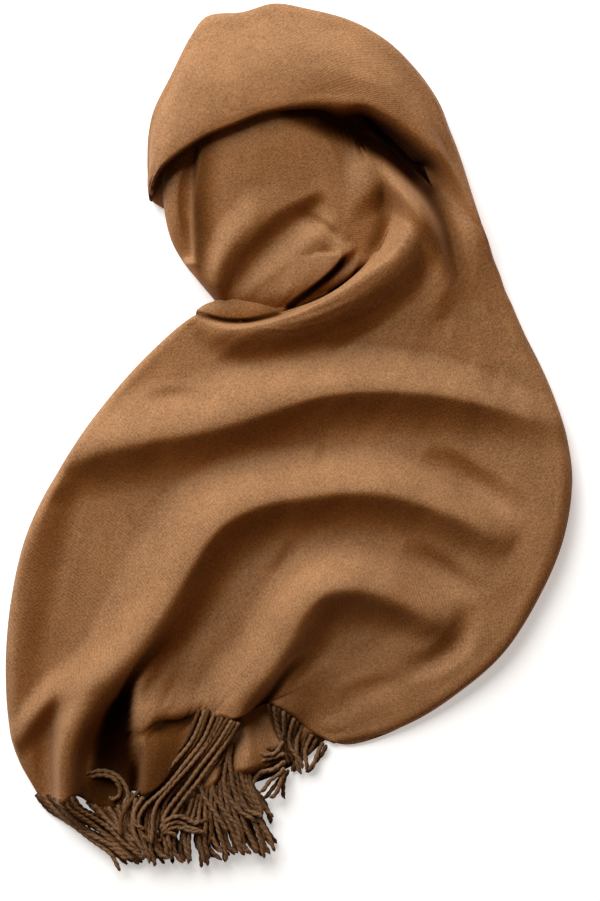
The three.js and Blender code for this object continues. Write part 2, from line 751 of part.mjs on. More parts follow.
// Point at a place along the straight facets of the hem, moved outwards in line with the cloth.
function hemPoint(v, outwards) {
  const facet = Math.min(Math.max(Math.floor(v * FALL_COLUMNS), 0), FALL_COLUMNS - 1);
  const corner = (u, side) => fallPoint(u, (facet + side) / FALL_COLUMNS);
  const f = v * FALL_COLUMNS - facet;
  const p = corner(0, 0).lerp(corner(0, 1), f);
  const q = corner(0.25, 0).lerp(corner(0.25, 1), f);
  return p.clone().add(p.sub(q).setLength(outwards));
}

// Point of the lower ply's outline, moved outwards in plan.
function lowerEdge(t, outwards) {
  const curve = new THREE.CatmullRomCurve3(
    LOWER_PLY.map(([x, y]) => new THREE.Vector3(x, y, LAYER_PLY)), true, 'centripetal');
  const tangent = curve.getTangent(t);
  return curve.getPoint(t).add(new THREE.Vector3(tangent.y, -tangent.x, 0).setLength(outwards));
}

// Point halfway through the thickness of the strip.
function withinStrip(edge, v, outwards) {
  const p = edge(v, outwards);
  const inwards = edge(v, outwards - 1).sub(p);
  const across = edge(v + 0.004, outwards).sub(edge(v - 0.004, outwards));
  return p.addScaledVector(across.cross(inwards).normalize(), -WALL / 2);
}

// Centre line of a strand: it leaves the strip straight, turns steadily from bearing start to
// bearing end, and sinks to the height it rests at.
function strandLine(edge, v, start, end, length, rest, sink) {
  const root = withinStrip(edge, v, STRIP_GAP + 1);
  const lead = withinStrip(edge, v, STRIP_GAP + STRIP_DEPTH + STRAND_LEAD);
  const line = [root, lead];
  const step = length / STRAND_STEPS;
  const p = lead.clone();
  for (let i = 1; i <= STRAND_STEPS; i += 1) {
    const f = i / STRAND_STEPS;
    const turned = smooth((i - 0.5) / STRAND_STEPS);
    const bearing = THREE.MathUtils.degToRad(mix([start, end], turned));
    p.x += step * Math.cos(bearing);
    p.y += step * Math.sin(bearing);
    p.z = lead.z + (rest - lead.z) * smooth(f * sink);
    line.push(p.clone());
  }
  return line;
}

// Three-sided strand along a centre line, tapered at its tip.
function strand(line) {
  const points = [];
  const triangles = [];
  const up = new THREE.Vector3(0, 0, 1);
  line.forEach((p, i) => {
    const ahead = line[Math.min(i + 1, line.length - 1)];
    const behind = line[Math.max(i - 1, 0)];
    const tangent = ahead.clone().sub(behind).normalize();
    const side = tangent.clone().cross(up).normalize();
    const over = side.clone().cross(tangent);
    const radius = STRAND_RADIUS * (i === line.length - 1 ? STRAND_TIP : 1);
    for (let k = 0; k < 3; k += 1) {
      const a = Math.PI / 2 + k * 2 * Math.PI / 3;
      const sideways = side.clone().multiplyScalar(radius * Math.cos(a));
      points.push(p.clone().add(sideways).addScaledVector(over, radius * Math.sin(a)));
    }
    if (i > 0) {
      for (let k = 0; k < 3; k += 1) {
        const [a, b] = [3 * (i - 1) + k, 3 * (i - 1) + (k + 1) % 3];
        triangles.push(a, b + 3, b, a, a + 3, b + 3);
      }
    }
  });
  const last = 3 * (line.length - 1);
  triangles.push(0, 1, 2, last, last + 2, last + 1);
  return geometryOf(points, triangles);
}

function fringe({ edge, place, count, start, end, length, rest, sink }) {
  const margin = (place[1] - place[0]) / (count - 1) / 3;
  const [from, to] = [place[0] - margin, place[1] + margin];
  const corners = steps(0, 1, FALL_COLUMNS).filter((v) => v > from && v < to);
  const vs = [from, ...corners, to];
  const strip = wallOf([
    vs.map((v) => edge(v, STRIP_GAP + STRIP_DEPTH)),
    vs.map((v) => edge(v, STRIP_GAP)),
  ]);
  const strands = steps(0, 1, count - 1).map((t) => {
    const [v, ...shape] = [place, start, end, length, rest].map((pair) => mix(pair, t));
    return strand(strandLine(edge, v, ...shape, sink));
  });
  return geometryFrom(joined([strip, ...strands]));
}

// ---------------------------------------------------------------- the part

const part = new THREE.Group();

function addPiece(name, geometry) {
  const material = new THREE.MeshStandardMaterial({ color: COLOUR, roughness: 0.95, metalness: 0 });
  const mesh = new THREE.Mesh(geometry, material);
  mesh.name = name;
  part.add(mesh);
}

addPiece('front_fall', frontFall());
addPiece('crown_turn', crownTurn());
addPiece('inner_loop', innerLoop());
addPiece('tuck_ply', tuckPly());
addPiece('under_layers', underLayers());
for (const [name, group] of Object.entries(FRINGE)) {
  addPiece(name, fringe(group));
}

// The origin is below the middle of the part's box, on the surface that it lies on.
const box = new THREE.Box3().setFromObject(part);
const centre = box.getCenter(new THREE.Vector3());
for (const mesh of part.children) {
  mesh.position.set(-centre.x, -centre.y, -box.min.z);
}

export default part;
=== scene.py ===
"""A faux cashmere scarf dropped in a swirl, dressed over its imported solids.

The plan tables are those of the solids, in millimetres, before the part is centred. Each stretch of
cloth is a fine shell through cross sections, with its folds, creases and small wrinkles raised on them.
"""

import math

import bpy
import numpy as np
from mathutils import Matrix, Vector

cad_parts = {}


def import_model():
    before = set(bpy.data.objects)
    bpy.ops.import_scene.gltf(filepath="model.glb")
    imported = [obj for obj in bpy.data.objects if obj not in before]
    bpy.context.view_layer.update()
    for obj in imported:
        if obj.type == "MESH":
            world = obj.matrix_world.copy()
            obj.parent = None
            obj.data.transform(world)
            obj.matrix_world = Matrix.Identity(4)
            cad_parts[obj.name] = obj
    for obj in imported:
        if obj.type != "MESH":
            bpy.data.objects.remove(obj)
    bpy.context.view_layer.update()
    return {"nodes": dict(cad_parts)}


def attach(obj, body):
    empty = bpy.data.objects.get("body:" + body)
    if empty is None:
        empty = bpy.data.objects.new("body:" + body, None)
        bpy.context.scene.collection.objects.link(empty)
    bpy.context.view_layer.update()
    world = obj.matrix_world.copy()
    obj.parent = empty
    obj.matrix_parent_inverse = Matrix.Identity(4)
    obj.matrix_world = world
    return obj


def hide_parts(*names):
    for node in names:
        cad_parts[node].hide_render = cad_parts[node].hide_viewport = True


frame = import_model()

MM = 0.001
CENTRE = np.array([0.24, -3.12, 0.0])   # middle of the part's box in the plan tables
WALL = 2.0                   # thickness of the cloth
FLOOR = 0.05                 # lowest height of all, clear of the ground

# ---- plan tables

FALL = np.array([
    # ix    iy    mx    my    ox    oy   zi  zm  zo  ri  ro  fi  fo
    [-209, -294,  -81, -226,   38, -249,  6,  8,  5,  5,  4,  0,  0],
    [-227, -257,  -60, -189,   87, -239, 11, 10,  9,  6,  6,  0,  0],
    [-234, -208,  -32, -148,  137, -212, 13, 11, 14,  7,  8,  0,  0],
    [-232, -155,   -7, -107,  180, -175, 14, 12, 18,  7, 10,  0,  0],
    [-225, -106,   12,  -69,  210, -126, 14, 12, 20,  7, 11,  0,  0],
    [-212,  -65,   26,  -34,  228,  -81, 14, 12, 22,  7, 12,  0,  0],
    [-189,  -22,   38,   -3,  235,  -36, 15, 12, 22,  7, 12,  0,  0],
    [-156,   27,   49,   24,  231,    1, 16, 14, 20,  7, 12,  0,  0],
    [-115,   73,   60,   46,  221,   34, 17, 16, 18,  7, 12,  0,  0],
    [ -75,  105,   73,   66,  210,   60, 18, 18, 17,  6, 12,  0,  0],
    [ -46,  100,   87,   83,  200,   80, 17, 20, 17,  3, 12,  8,  0],
    [  -5,  107,  101,   98,  192,   98, 18, 22, 17,  3, 12, 14,  0],
    [  28,  118,  115,  112,  186,  112, 19, 24, 17,  3, 11, 15,  0],
    [  53,  135,  125,  124,  180,  125, 20, 26, 18,  3, 11, 16,  0],
    [  69,  155,  133,  138,  175,  139, 21, 27, 19,  3, 10, 17,  0],
    [  75,  182,  136,  156,  170,  151, 22, 28, 21,  3, 10, 18,  0],
    [  70,  212,  134,  180,  166,  163, 21, 26, 24,  3,  9, 17,  0],
    [  55,  246,  126,  197,  163,  171, 19, 21, 26,  3,  9, 15,  0],
    [  38,  282,  114,  213,  160,  179, 17, 16, 27,  3,  9, 13,  0],
])

HEM = np.array([
    # across   x     y
    [0.00,   -209, -294],
    [0.06,   -200, -298],
    [0.12,   -188, -299],
    [0.17,   -177, -293],
    [0.22,   -168, -299],
    [0.29,   -155, -306],
    [0.36,   -141, -303],
    [0.41,   -131, -291],
    [0.45,   -118, -292],
    [0.49,   -105, -283],
    [0.53,    -90, -264],
    [0.57,    -80, -247],
    [0.61,    -69, -233],
    [0.65,    -58, -227],
    [0.72,    -46, -229],
    [0.78,    -32, -224],
    [0.84,    -18, -217],
    [0.88,     -8, -220],
    [0.92,      4, -228],
    [0.96,     18, -241],
    [1.00,     38, -252],
])

# Folds and troughs: rows along a crest, each with its x, y, rise, the widths of its back and of its
# lee, which is on the right of the way along it, and for some the power of the lee.
FALL_FOLDS = {
    "collar": [[-68, 99, 6, 8, 20], [-46, 92, 18, 8, 30], [-20, 95, 23, 8, 36], [9, 104, 26, 8, 40],
        [36, 117, 27, 9, 42], [62, 134, 27, 11, 42], [84, 149, 26, 14, 38], [97, 166, 24, 18, 34],
        [101, 184, 20, 20, 30], [95, 205, 14, 20, 24], [82, 225, 7, 18, 18], [66, 240, 1, 14, 16]],
    "brow": [[-214, -31, 7, 26, 26, 1.0], [-190, -21, 12, 34, 34, 0.8], [-155, -9, 18, 42, 40, 0.7],
        [-114, 0, 22, 50, 43, 0.65], [-73, 7, 23, 52, 44, 0.65], [-40, 16, 23, 52, 43, 0.65],
        [-7, 27, 23, 50, 42, 0.65], [26, 36, 23, 46, 41, 0.65], [59, 40, 23, 42, 40, 0.65],
        [91, 40, 22, 38, 39, 0.65], [124, 37, 20, 34, 38, 0.65], [157, 30, 16, 30, 36, 0.65],
        [190, 21, 10, 26, 32, 0.7], [226, 8, 0, 20, 28, 0.8]],
    "sweep": [[-187, -300, 22, 13, 17, 1.5], [-184, -250, 25, 16, 22, 1.5], [-166, -214, 28, 28, 26, 1.4],
        [-134, -180, 30, 42, 30, 1.1], [-107, -147, 30, 52, 34, 0.85], [-86, -114, 29, 56, 38, 0.7],
        [-68, -85, 28, 56, 41, 0.65], [-48, -65, 27, 52, 42, 0.65], [-19, -52, 26, 48, 41, 0.65],
        [9, -47, 25, 44, 40, 0.65], [42, -43, 24, 40, 39, 0.65], [75, -43, 23, 38, 38, 0.65],
        [108, -52, 20, 34, 36, 0.65], [141, -65, 15, 30, 32, 0.7], [165, -77, 9, 24, 26, 0.8],
        [186, -88, 0, 20, 24, 0.8]],
    "knee": [[-46, -240, 18, 40, 17, 1.3], [-38, -215, 20, 40, 20, 1.2], [-15, -188, 23, 40, 26, 1.0],
        [1, -163, 25, 42, 32, 0.85], [9, -147, 26, 42, 36, 0.75], [26, -128, 26, 40, 38, 0.65],
        [46, -122, 25, 38, 38, 0.65], [71, -125, 22, 34, 35, 0.65], [91, -134, 18, 28, 30, 0.7],
        [116, -148, 10, 24, 24, 0.8], [132, -160, 0, 20, 18, 0.8]],
    "middle_edge": [[-120, -296, 14, 7, 40], [-118, -262, 17, 8, 50], [-122, -240, 18, 9, 54],
        [-124, -218, 16, 9, 52], [-119, -201, 11, 10, 48], [-104, -187, 5, 12, 40], [-84, -172, 0, 14, 36]],
    "left_branch": [[-228, -252, 4, 14, 14], [-219, -240, 10, 14, 15], [-204, -219, 12, 15, 16],
        [-187, -204, 10, 18, 18], [-164, -192, 5, 22, 20], [-138, -184, 0, 24, 20]],
    "hem_ledge": [[-126, -231, 1, 16, 3], [-106, -227, 4, 20, 3], [-88, -223, 5, 22, 3],
        [-74, -220, 4, 20, 3], [-62, -222, 0, 16, 3]],
    "hollow_rim": [[-172, -276, 0, 4, 4], [-157, -275, 3, 4, 4], [-145, -277, 3, 4, 4],
        [-138, -286, 0, 4, 4]],
    "left_rim": [[-228, -220, 4, 10, 24], [-226, -163, 9, 10, 30], [-219, -105, 12, 10, 34],
        [-208, -62, 13, 10, 34], [-197, -40, 9, 10, 28], [-186, -24, 0, 10, 22]],
    "right_hem": [[-14, -226, 12, 14, 34], [4, -200, 8, 16, 34], [26, -172, 0, 18, 34]],
    "shoulder": [[44, 246, 1, 14, 14], [62, 229, 8, 16, 14], [80, 212, 12, 17, 14], [96, 197, 13, 17, 14],
        [109, 183, 13, 17, 14], [119, 168, 12, 16, 14], [123, 153, 9, 15, 16], [125, 126, 5, 16, 16],
        [127, 100, 0, 18, 16]],
    "flank": [[112, 254, 5, 12, 12], [126, 238, 7, 10, 12], [139, 220, 7, 10, 12], [148, 200, 5, 12, 12],
        [154, 180, 2, 12, 12], [158, 160, 0, 12, 12]],
}

FALL_TROUGHS = {
    "upper_dimple": [[-122, 32, 0, 9, 10], [-100, 36, -4, 10, 12], [-80, 36, -3, 10, 12],
        [-58, 33, 0, 9, 10]],
    "brow_dimple": [[34, -4, 0, 10, 8], [28, -14, -3, 10, 10], [22, -26, 0, 10, 8]],
    "sweep_dimple": [[-14, -116, 0, 10, 10], [-2, -98, -3, 11, 11], [8, -82, 0, 10, 10]],
    "finger_crease": [[-194, -232, 0, 14, 12], [-200, -246, -3, 16, 13], [-203, -268, -5, 16, 13],
        [-199, -292, -4, 14, 12]],
    "hollow": [[-151, -306, -4, 16, 16], [-147, -274, -7, 18, 18], [-141, -246, -8, 16, 16],
        [-136, -222, -7, 12, 12], [-132, -204, 0, 10, 10]],
    "shoulder_valley": [[120, 202, -4, 12, 12], [131, 178, -6, 11, 12], [137, 155, -6, 11, 12],
        [145, 130, -4, 12, 14], [152, 112, -2, 14, 14], [160, 92, 0, 14, 14]],
    "brow_trough": [[112, -10, 0, 16, 18], [134, -22, -7, 18, 18], [158, -38, -8, 18, 18],
        [196, -62, 0, 16, 16]],
    "knee_trough": [[94, -88, 0, 14, 16], [116, -100, -7, 15, 16], [136, -114, -7, 15, 16],
        [156, -130, 0, 14, 16]],
    "knee_end": [[92, -192, 0, 16, 14], [124, -181, -6, 16, 14], [144, -162, -6, 16, 14],
        [150, -128, 0, 16, 14]],
    "border_trough": [[28, -250, 0, 14, 16], [44, -222, -2, 16, 16], [70, -206, -2, 16, 16],
        [104, -200, 0, 16, 16]],
}

CROWN = np.array([
    #  rx    ry    ox    oy  zr  zm  zo  ro reach foot bulge
    [ 147,  201,  159,  190, 33, 32, 27,  9,  18,  14,   5],
    [ 139,  216,  151,  208, 36, 34, 27,  9,  19,  12,   6],
    [ 125,  232,  142,  234, 40, 38, 28, 10,  19,  10,   7],
    [ 109,  248,  133,  256, 44, 42, 33, 11,  17,  10,   8],
    [  89,  264,  123,  281, 48, 45, 34, 12,  14,  10,  10],
    [  69,  276,  104,  308, 51, 48, 37, 13,  10,  12,  12],
    [  50,  279,   80,  332, 53, 50, 38, 14,  16,  20,  13],
    [  29,  281,   50,  348, 54, 52, 39, 15,   8,  30,  13],
    [   5,  279,   15,  357, 56, 53, 40, 15,   3,  34,  13],
    [ -20,  274,  -12,  361, 56, 53, 40, 15,   0,  36,  13],
    [ -44,  265,  -38,  354, 56, 53, 40, 15,   0,  37,  13],
    [ -65,  256,  -66,  351, 55, 52, 39, 15,   0,  37,  12],
    [ -82,  245,  -80,  335, 53, 50, 37, 14,   0,  36,  11],
    [ -94,  235,  -97,  303, 50, 48, 34, 12,   1,  34,   8],
    [-103,  226, -111,  276, 47, 43, 30, 10,   3,  30,   5],
    [-108,  219, -116,  255, 43, 39, 28,  9,   4,  24,   3],
    [-111,  214, -117,  237, 39, 33, 19,  6,   4,  18,   2],
    [-113,  208, -117,  222, 33, 27, 14,  4,   4,  12,   2],
    [-114,  204, -117,  212, 22, 18,  9,  3,   3,   5,   1],
    [-114,  202, -116,  206, 11,  9,  5,  2,   2,   3,   1],
])

LOOP = np.array([
    # ix   iy    mx   my    ox   oy  zi  zm  zo  ri  ro  fi  fo
    [ -55, 109,  -22, 105,    6, 109, 13, 14, 12,  5,  2,  0,  6],
    [ -64, 120,  -12, 118,   33, 124, 25, 24, 17,  9,  2,  0,  9],
    [ -75, 133,   -6, 134,   52, 139, 32, 29, 21,  9,  2,  0, 11],
    [ -87, 148,   -4, 155,   68, 158, 35, 32, 24,  9,  2,  0, 12],
    [ -97, 166,   -4, 178,   74, 184, 37, 34, 27,  9,  2,  0, 13],
    [-102, 186,   -5, 203,   69, 209, 39, 36, 28,  9,  2,  0, 14],
    [-104, 210,   -6, 226,   57, 232, 40, 39, 29, 10,  2,  0, 15],
    [-101, 232,   -8, 250,   38, 254, 41, 42, 31, 12,  2,  0, 16],
    [ -93, 252,  -10, 274,   26, 276, 40, 42, 31, 12,  2,  0, 16],
    [ -80, 272,  -12, 298,   14, 298, 34, 36, 26, 12,  2,  0, 16],
])

LOOP_TROUGHS = {
    "left_crease": [[-70, 116, 0, 12, 5], [-76, 134, -10, 15, 4], [-79, 150, -14, 19, 4],
        [-80, 175, -15, 22, 4], [-80, 205, -14, 23, 4], [-77, 240, -10, 22, 7]],
    "diagonal": [[-48, 116, 0, 10, 12], [-40, 130, -4, 12, 14], [-22, 152, -7, 16, 20],
        [0, 174, -9, 18, 24], [20, 189, -8, 14, 22], [34, 198, 0, 12, 18]],
    "above_corner": [[8, 188, 0, 6, 8], [22, 181, -4, 7, 9], [34, 170, -5, 7, 9], [42, 159, -3, 6, 8],
        [46, 150, 0, 6, 6]],
    "beside_sliver": [[-2, 105, -1, 4, 4], [20, 113, -2, 4, 4], [38, 124, -2, 4, 5], [50, 137, -2, 4, 6],
        [58, 150, 0, 4, 6]],
}

LOOP_FOLDS = {
    "flap": [[-12, 106, 4, 26, 3], [10, 118, 6, 30, 3], [28, 133, 7, 30, 3], [42, 148, 7, 26, 4],
        [45, 155, 6, 20, 6], [38, 163, 4, 18, 8], [24, 172, 2, 18, 8], [10, 180, 0, 18, 8]],
    "ridge": [[-56, 112, 2, 10, 10], [-58, 126, 6, 12, 12], [-56, 144, 8, 16, 16], [-44, 164, 7, 20, 18],
        [-30, 179, 5, 24, 20], [-12, 192, 2, 26, 22], [4, 200, 0, 26, 22]],
}

HEM_REACH = 2.2              # rows over which the hem's own line fades out
SLIT = 0.6                   # part of the fall's width at which the crown parts from its tail
CROWN_BLEND = 2.5            # rows over which the fall passes into the crown
CROWN_CARRY = 1.5            # rows that the fall's surface goes on there for each row of the crown
FALL_END = len(FALL) - 1
CROWN_END = len(CROWN) - 1
LOOP_END = len(LOOP) - 1

# ---- curves and folds


def along(table, column, t):
    """Values of a column at rows t, on the Catmull-Rom curve through the table's rows."""
    t = np.asarray(t, float)
    values = table[:, column]
    last = len(values) - 1
    k = np.clip(np.floor(t).astype(int), 0, last - 1)
    f = t - k
    padded = np.concatenate([[2 * values[0] - values[1]], values, [2 * values[-1] - values[-2]]])
    p0, p1, p2, p3 = (padded[k + i] for i in range(4))
    inside = 0.5 * (2 * p1 + f * (p2 - p0) + f * f * (2 * p0 - 5 * p1 + 4 * p2 - p3)
                    + f ** 3 * (3 * p1 - p0 - 3 * p2 + p3))
    before = p1 + f * (p2 - p0) / 2
    after = p2 + (f - 1) * (p3 - p1) / 2
    return np.where(f < 0, before, np.where(f > 1, after, inside))


def row_of(table, s):
    """Rows at which the steadily rising first column of a table takes the values s."""
    return np.interp(s, table[:, 0], np.arange(len(table)))


def parabola(a, b, c, v):
    """The parabola that is a, b and c at v = 0, 0.5 and 1."""
    return a * (1 - v) * (1 - 2 * v) + 4 * b * v * (1 - v) + c * v * (2 * v - 1)


def smooth(t):
    """Rises smoothly from 0 at t = 0 to 1 at t = 1, and is level on both sides."""
    f = np.clip(t, 0, 1)
    return f * f * (3 - 2 * f)


CREST_STEPS = 6


def crest_line(rows, power=1.0):
    """Close points along a crest, with their rise, the widths of the back and of the lee, and the
    lee's power, which is the same all along unless the rows give it."""
    rows = np.array(rows, float)
    t = np.arange((len(rows) - 1) * CREST_STEPS + 1) / CREST_STEPS
    line = [along(rows, c, t) for c in range(rows.shape[1])]
    if rows.shape[1] == 5:
        line.append(np.full(t.shape, power))
    return np.stack(line, axis=-1)


def fold_height(line, x, y, back_power):
    """Height that a fold adds: a bell across its nearest point, with its lee on the right as seen
    along the crest. A power above 1 keeps a side high for longer and makes its fall steeper. The back
    has the lee's power where none is given."""
    best = np.full(x.shape, np.inf)
    height = np.zeros(x.shape)
    for here, there in zip(line[:-1], line[1:]):
        dx, dy = there[0] - here[0], there[1] - here[1]
        f = np.clip(((x - here[0]) * dx + (y - here[1]) * dy) / (dx * dx + dy * dy), 0, 1)
        px = x - here[0] - f * dx
        py = y - here[1] - f * dy
        distance = np.hypot(px, py)
        rise, back, lee, power = (here[c] + f * (there[c] - here[c]) for c in (2, 3, 4, 5))
        behind = dx * py - dy * px > 0
        share = np.minimum(distance / np.where(behind, back, lee), 1)
        share = share ** np.where(behind, back_power or power, power)
        bell = rise * (1 + np.cos(np.pi * share)) / 2
        nearer = distance < best
        best = np.where(nearer, distance, best)
        height = np.where(nearer, bell, height)
    return height


def folds_at(lines, x, y, back_power=1.0):
    return sum(fold_height(line, x, y, back_power) for line in lines)


FALL_CRESTS = [crest_line(rows) for rows in [*FALL_FOLDS.values(), *FALL_TROUGHS.values()]]
LOOP_CRESTS = [crest_line(rows) for rows in [*LOOP_FOLDS.values(), *LOOP_TROUGHS.values()]]

# Painted shade, where little light reaches the cloth: rows along lines in plan, each with its x, y,
# darkness of the painted shade, and widths on its left and right.
VALLEY_PAINTED_SHADE = [[65, 242, 0.0, 10, 10], [70, 224, 0.25, 11, 11], [74, 204, 0.42, 12, 12],
    [77, 186, 0.56, 11, 12], [73, 168, 0.6, 10, 12], [62, 151, 0.45, 9, 8], [50, 138, 0.35, 7, 5],
    [35, 126, 0.2, 5, 4]]
LIP_SHADOW = [[0, 268, 0.8, 24, 12], [26, 259, 0.92, 26, 14], [54, 251, 1.0, 28, 14],
    [80, 237, 1.05, 28, 13], [102, 217, 1.0, 26, 12], [118, 201, 0.74, 18, 12], [129, 181, 0.52, 14, 11],
    [136, 157, 0.38, 13, 10], [145, 129, 0.24, 13, 10], [152, 112, 0.0, 12, 9]]
TUCK_PAINTED_SHADE = [[-78, 107, 0.5, 3, 3], [-66, 103, 0.9, 3, 4], [-52, 100, 0.95, 3, 4], [-32, 100, 0.95, 3, 4],
    [-10, 105, 0.6, 3, 4]]

FALL_PAINTED_SHADE = {
    "lip_shadow": LIP_SHADOW,
    "valley": VALLEY_PAINTED_SHADE,
    "tuck_line": TUCK_PAINTED_SHADE,
    "hollow": [[-152, -310, 0.7, 24, 22], [-152, -296, 0.82, 24, 24], [-148, -284, 0.9, 23, 26],
        [-146, -271, 0.97, 22, 25], [-146, -253, 1.0, 20, 22], [-145, -241, 1.0, 15, 18],
        [-141, -225, 1.0, 12, 13], [-136, -210, 1.0, 6, 7], [-130, -198, 0.9, 5, 5],
        [-120, -184, 0.7, 6, 5], [-108, -170, 0.4, 7, 5], [-94, -152, 0.0, 7, 5]],
    "below_ledge": [[-110, -300, 0.55, 26, 26], [-110, -280, 0.55, 26, 26], [-106, -262, 0.5, 24, 24],
        [-98, -244, 0.45, 20, 20], [-92, -232, 0.2, 12, 12]],
    "knee_foot": [[18, -174, 0.0, 6, 5], [5, -184, 0.6, 6, 5], [-5, -196, 0.85, 5, 5],
        [-15, -211, 0.95, 5, 5], [-28, -224, 0.95, 4, 4], [-38, -232, 0.6, 4, 4]],
    "under_ledge": [[-132, -240, 0.3, 3, 5], [-120, -236, 0.75, 3, 8], [-106, -231, 0.8, 3, 10],
        [-92, -228, 0.85, 3, 12], [-80, -226, 0.95, 3, 14], [-70, -226, 0.9, 3, 12]],
}

LOOP_PAINTED_SHADE = {
    "left_strip": [[-75, 244, 0.6, 24, 4], [-76, 205, 0.7, 24, 4], [-76, 175, 0.7, 22, 4],
        [-75, 150, 0.6, 16, 4], [-73, 134, 0.3, 10, 4]],
    "flap_undercut": [[45, 157, 0.2, 3, 3], [45, 149, 0.95, 4, 4], [36, 138, 1.0, 4, 4],
        [17, 123, 1.0, 4, 4], [0, 111, 0.9, 4, 4]],
    "collar_line": [[62, 152, 0.0, 4, 4], [57, 141, 0.6, 4, 4], [51, 131, 0.9, 4, 4], [35, 121, 0.9, 4, 4],
        [14, 112, 0.8, 4, 4], [-2, 107, 0.6, 4, 4]],
    "tuck_line": TUCK_PAINTED_SHADE,
    "valley": VALLEY_PAINTED_SHADE,
    "lip_shadow": LIP_SHADOW,
    "notch": [[58, 245, 0.2, 4, 4], [60, 238, 0.35, 4, 5], [62, 228, 0.0, 4, 4]],
}

LOWER_PAINTED_SHADE = {
    "left_border": [[-130, -288, 0.95, 22, 18], [-116, -296, 0.95, 22, 18], [-100, -302, 0.9, 18, 14],
        [-86, -306, 0.7, 10, 10]],
    "border": [[-56, -288, 0.6, 9, 9], [-44, -284, 0.95, 11, 11], [-30, -283, 0.95, 11, 11],
        [-17, -278, 0.95, 12, 12], [-4, -272, 0.95, 14, 14], [8, -264, 0.95, 16, 16],
        [22, -252, 0.95, 16, 16]],
    "between_lobes": [[-46, -250, 0.2, 5, 5], [-50, -264, 0.8, 6, 6], [-52, -278, 0.9, 7, 7]],
}
PAINTED_SHADE_POWERS = {"hollow": 4.0, "left_strip": 1.2, "valley": 1.0, "lip_shadow": 1.2}
PAINTED_SHADE_POWER = 2.0            # of the lines that have none of their own
PAINTED_SHADES = {sheet: [crest_line(rows, PAINTED_SHADE_POWERS.get(name, PAINTED_SHADE_POWER)) for name, rows in lines.items()]
          for sheet, lines in (("fall", FALL_PAINTED_SHADE), ("loop", LOOP_PAINTED_SHADE), ("lower", LOWER_PAINTED_SHADE))}


def painted_shade_at(name, points):
    """How much painted shade the points of a sheet get, from 0 to 1."""
    return np.clip(folds_at(PAINTED_SHADES[name], points[..., 0], points[..., 1], back_power=None), 0, 1)


# ---- surfaces


def plan_of(table, u, v):
    ix, iy, mx, my, ox, oy = (along(table, c, u) for c in range(6))
    return parabola(ix, mx, ox, v), parabola(iy, my, oy, v)


def fall_plan(u, v):
    """Plan of the front fall, whose first rows follow the line of the hem."""
    x, y = plan_of(FALL, u, v)
    pull = 1 - smooth(u / HEM_REACH)
    row = row_of(HEM, np.clip(v, 0, 1))
    qx, qy = plan_of(FALL, np.zeros_like(u), v)
    return x + pull * (along(HEM, 1, row) - qx), y + pull * (along(HEM, 2, row) - qy)


def loop_plan(u, v):
    return plan_of(LOOP, u, v)


def rolled_point(table, plan, crests, u, v):
    """Points of a stretch whose two borders are rolled under. Its top face runs from v = 0 to 1;
    v below 0 or above 1 goes round a roll, by one for its whole half turn."""
    ax, ay = plan(u, np.zeros_like(u))
    bx, by = plan(u, np.ones_like(u))
    width = np.hypot(bx - ax, by - ay)
    start = along(table, 9, u) / width
    end = 1 - along(table, 10, u) / width
    clamped = np.clip(v, 0, 1)
    x, y = plan(u, start + (end - start) * clamped)
    base = parabola(along(table, 6, u), along(table, 7, u), along(table, 8, u), clamped)
    z = base + folds_at(crests, x, y)
    ex = np.where(v < 0, ax, bx)
    ey = np.where(v < 0, ay, by)
    turn = np.pi * np.where(v < 0, -v, np.maximum(v - 1, 0))
    foot = np.minimum(np.where(v < 0, along(table, 11, u), along(table, 12, u)) + FLOOR, z)
    return np.stack([
        x + (ex - x) * np.sin(turn),
        y + (ey - y) * np.sin(turn),
        foot + (z - foot) * (1 + np.cos(turn)) / 2,
    ], axis=-1)


def fall_point(u, v):
    return rolled_point(FALL, fall_plan, FALL_CRESTS, u, v)


def loop_point(u, v):
    return rolled_point(LOOP, loop_plan, LOOP_CRESTS, u, v)


def crown_own_point(s, w):
    """Points of the crown: w from -1 to 0 climbs from the inner end to the ridge, 0 to 1 crosses the
    top, and 1 to 2 goes round the outer border."""
    rx, ry, ox, oy, zr, zm, zo, ro, reach, foot, bulge = (along(CROWN, c, s) for c in range(11))
    width = np.hypot(ox - rx, oy - ry)
    dx = (ox - rx) / width
    dy = (oy - ry) / width
    top = np.maximum(width - ro, 1)
    f = np.clip(-w, 0, 1)
    out = 3 * bulge * f * (1 - f) + reach * f ** 2
    across = top * np.clip(w, 0, 1)
    turn = np.pi * np.clip(w - 1, 0, 1)
    low = np.minimum(FLOOR, zo)
    d = across + (width - top) * np.sin(turn) - out
    z = np.where(
        w < 0, zr + (foot - zr) * (1 - np.cos(np.pi * f / 2)),
        np.where(w <= 1, parabola(zr, zm, zo, np.clip(w, 0, 1)),
                 low + (zo - low) * (1 + np.cos(turn)) / 2))
    return np.stack([rx + dx * d, ry + dy * d, z], axis=-1)


def crown_point(s, w):
    """The crown, whose first rows pass over from the front fall's surface to its own."""
    v = np.where(w <= 1, SLIT + (1 - SLIT) * (w + 1) / 2, w)
    share = smooth(s / CROWN_BLEND)[..., None]
    return fall_point(FALL_END + CROWN_CARRY * s, v) * (1 - share) + crown_own_point(s, w) * share


# ---- wrinkles

LATTICE_SIZE = 64            # cells after which the noise repeats
BROAD = (70, 26)             # mm of cloth, along and across, between the broad wrinkles
FINE = (26, 11)
FINE_SHARE = 0.35            # of the broad wrinkles' height
BROAD_SWAY = (0.3, 60)       # cells by which the wrinkles sway, and mm of cloth for each radian of it
FINE_SWAY = (0.4, 30)

# What each piece's own noise starts from.
SEEDS = {
    "scarf_fall_and_crown": 3, "scarf_inner_loop": 11, "scarf_tuck_ply": 21, "scarf_tip_ply": 23,
    "scarf_border_ply": 25, "scarf_lower_ply": 31, "scarf_drape_plies": 51, "scarf_crown_plies": 61,
}
FIRST_FRINGE_SEED = 40


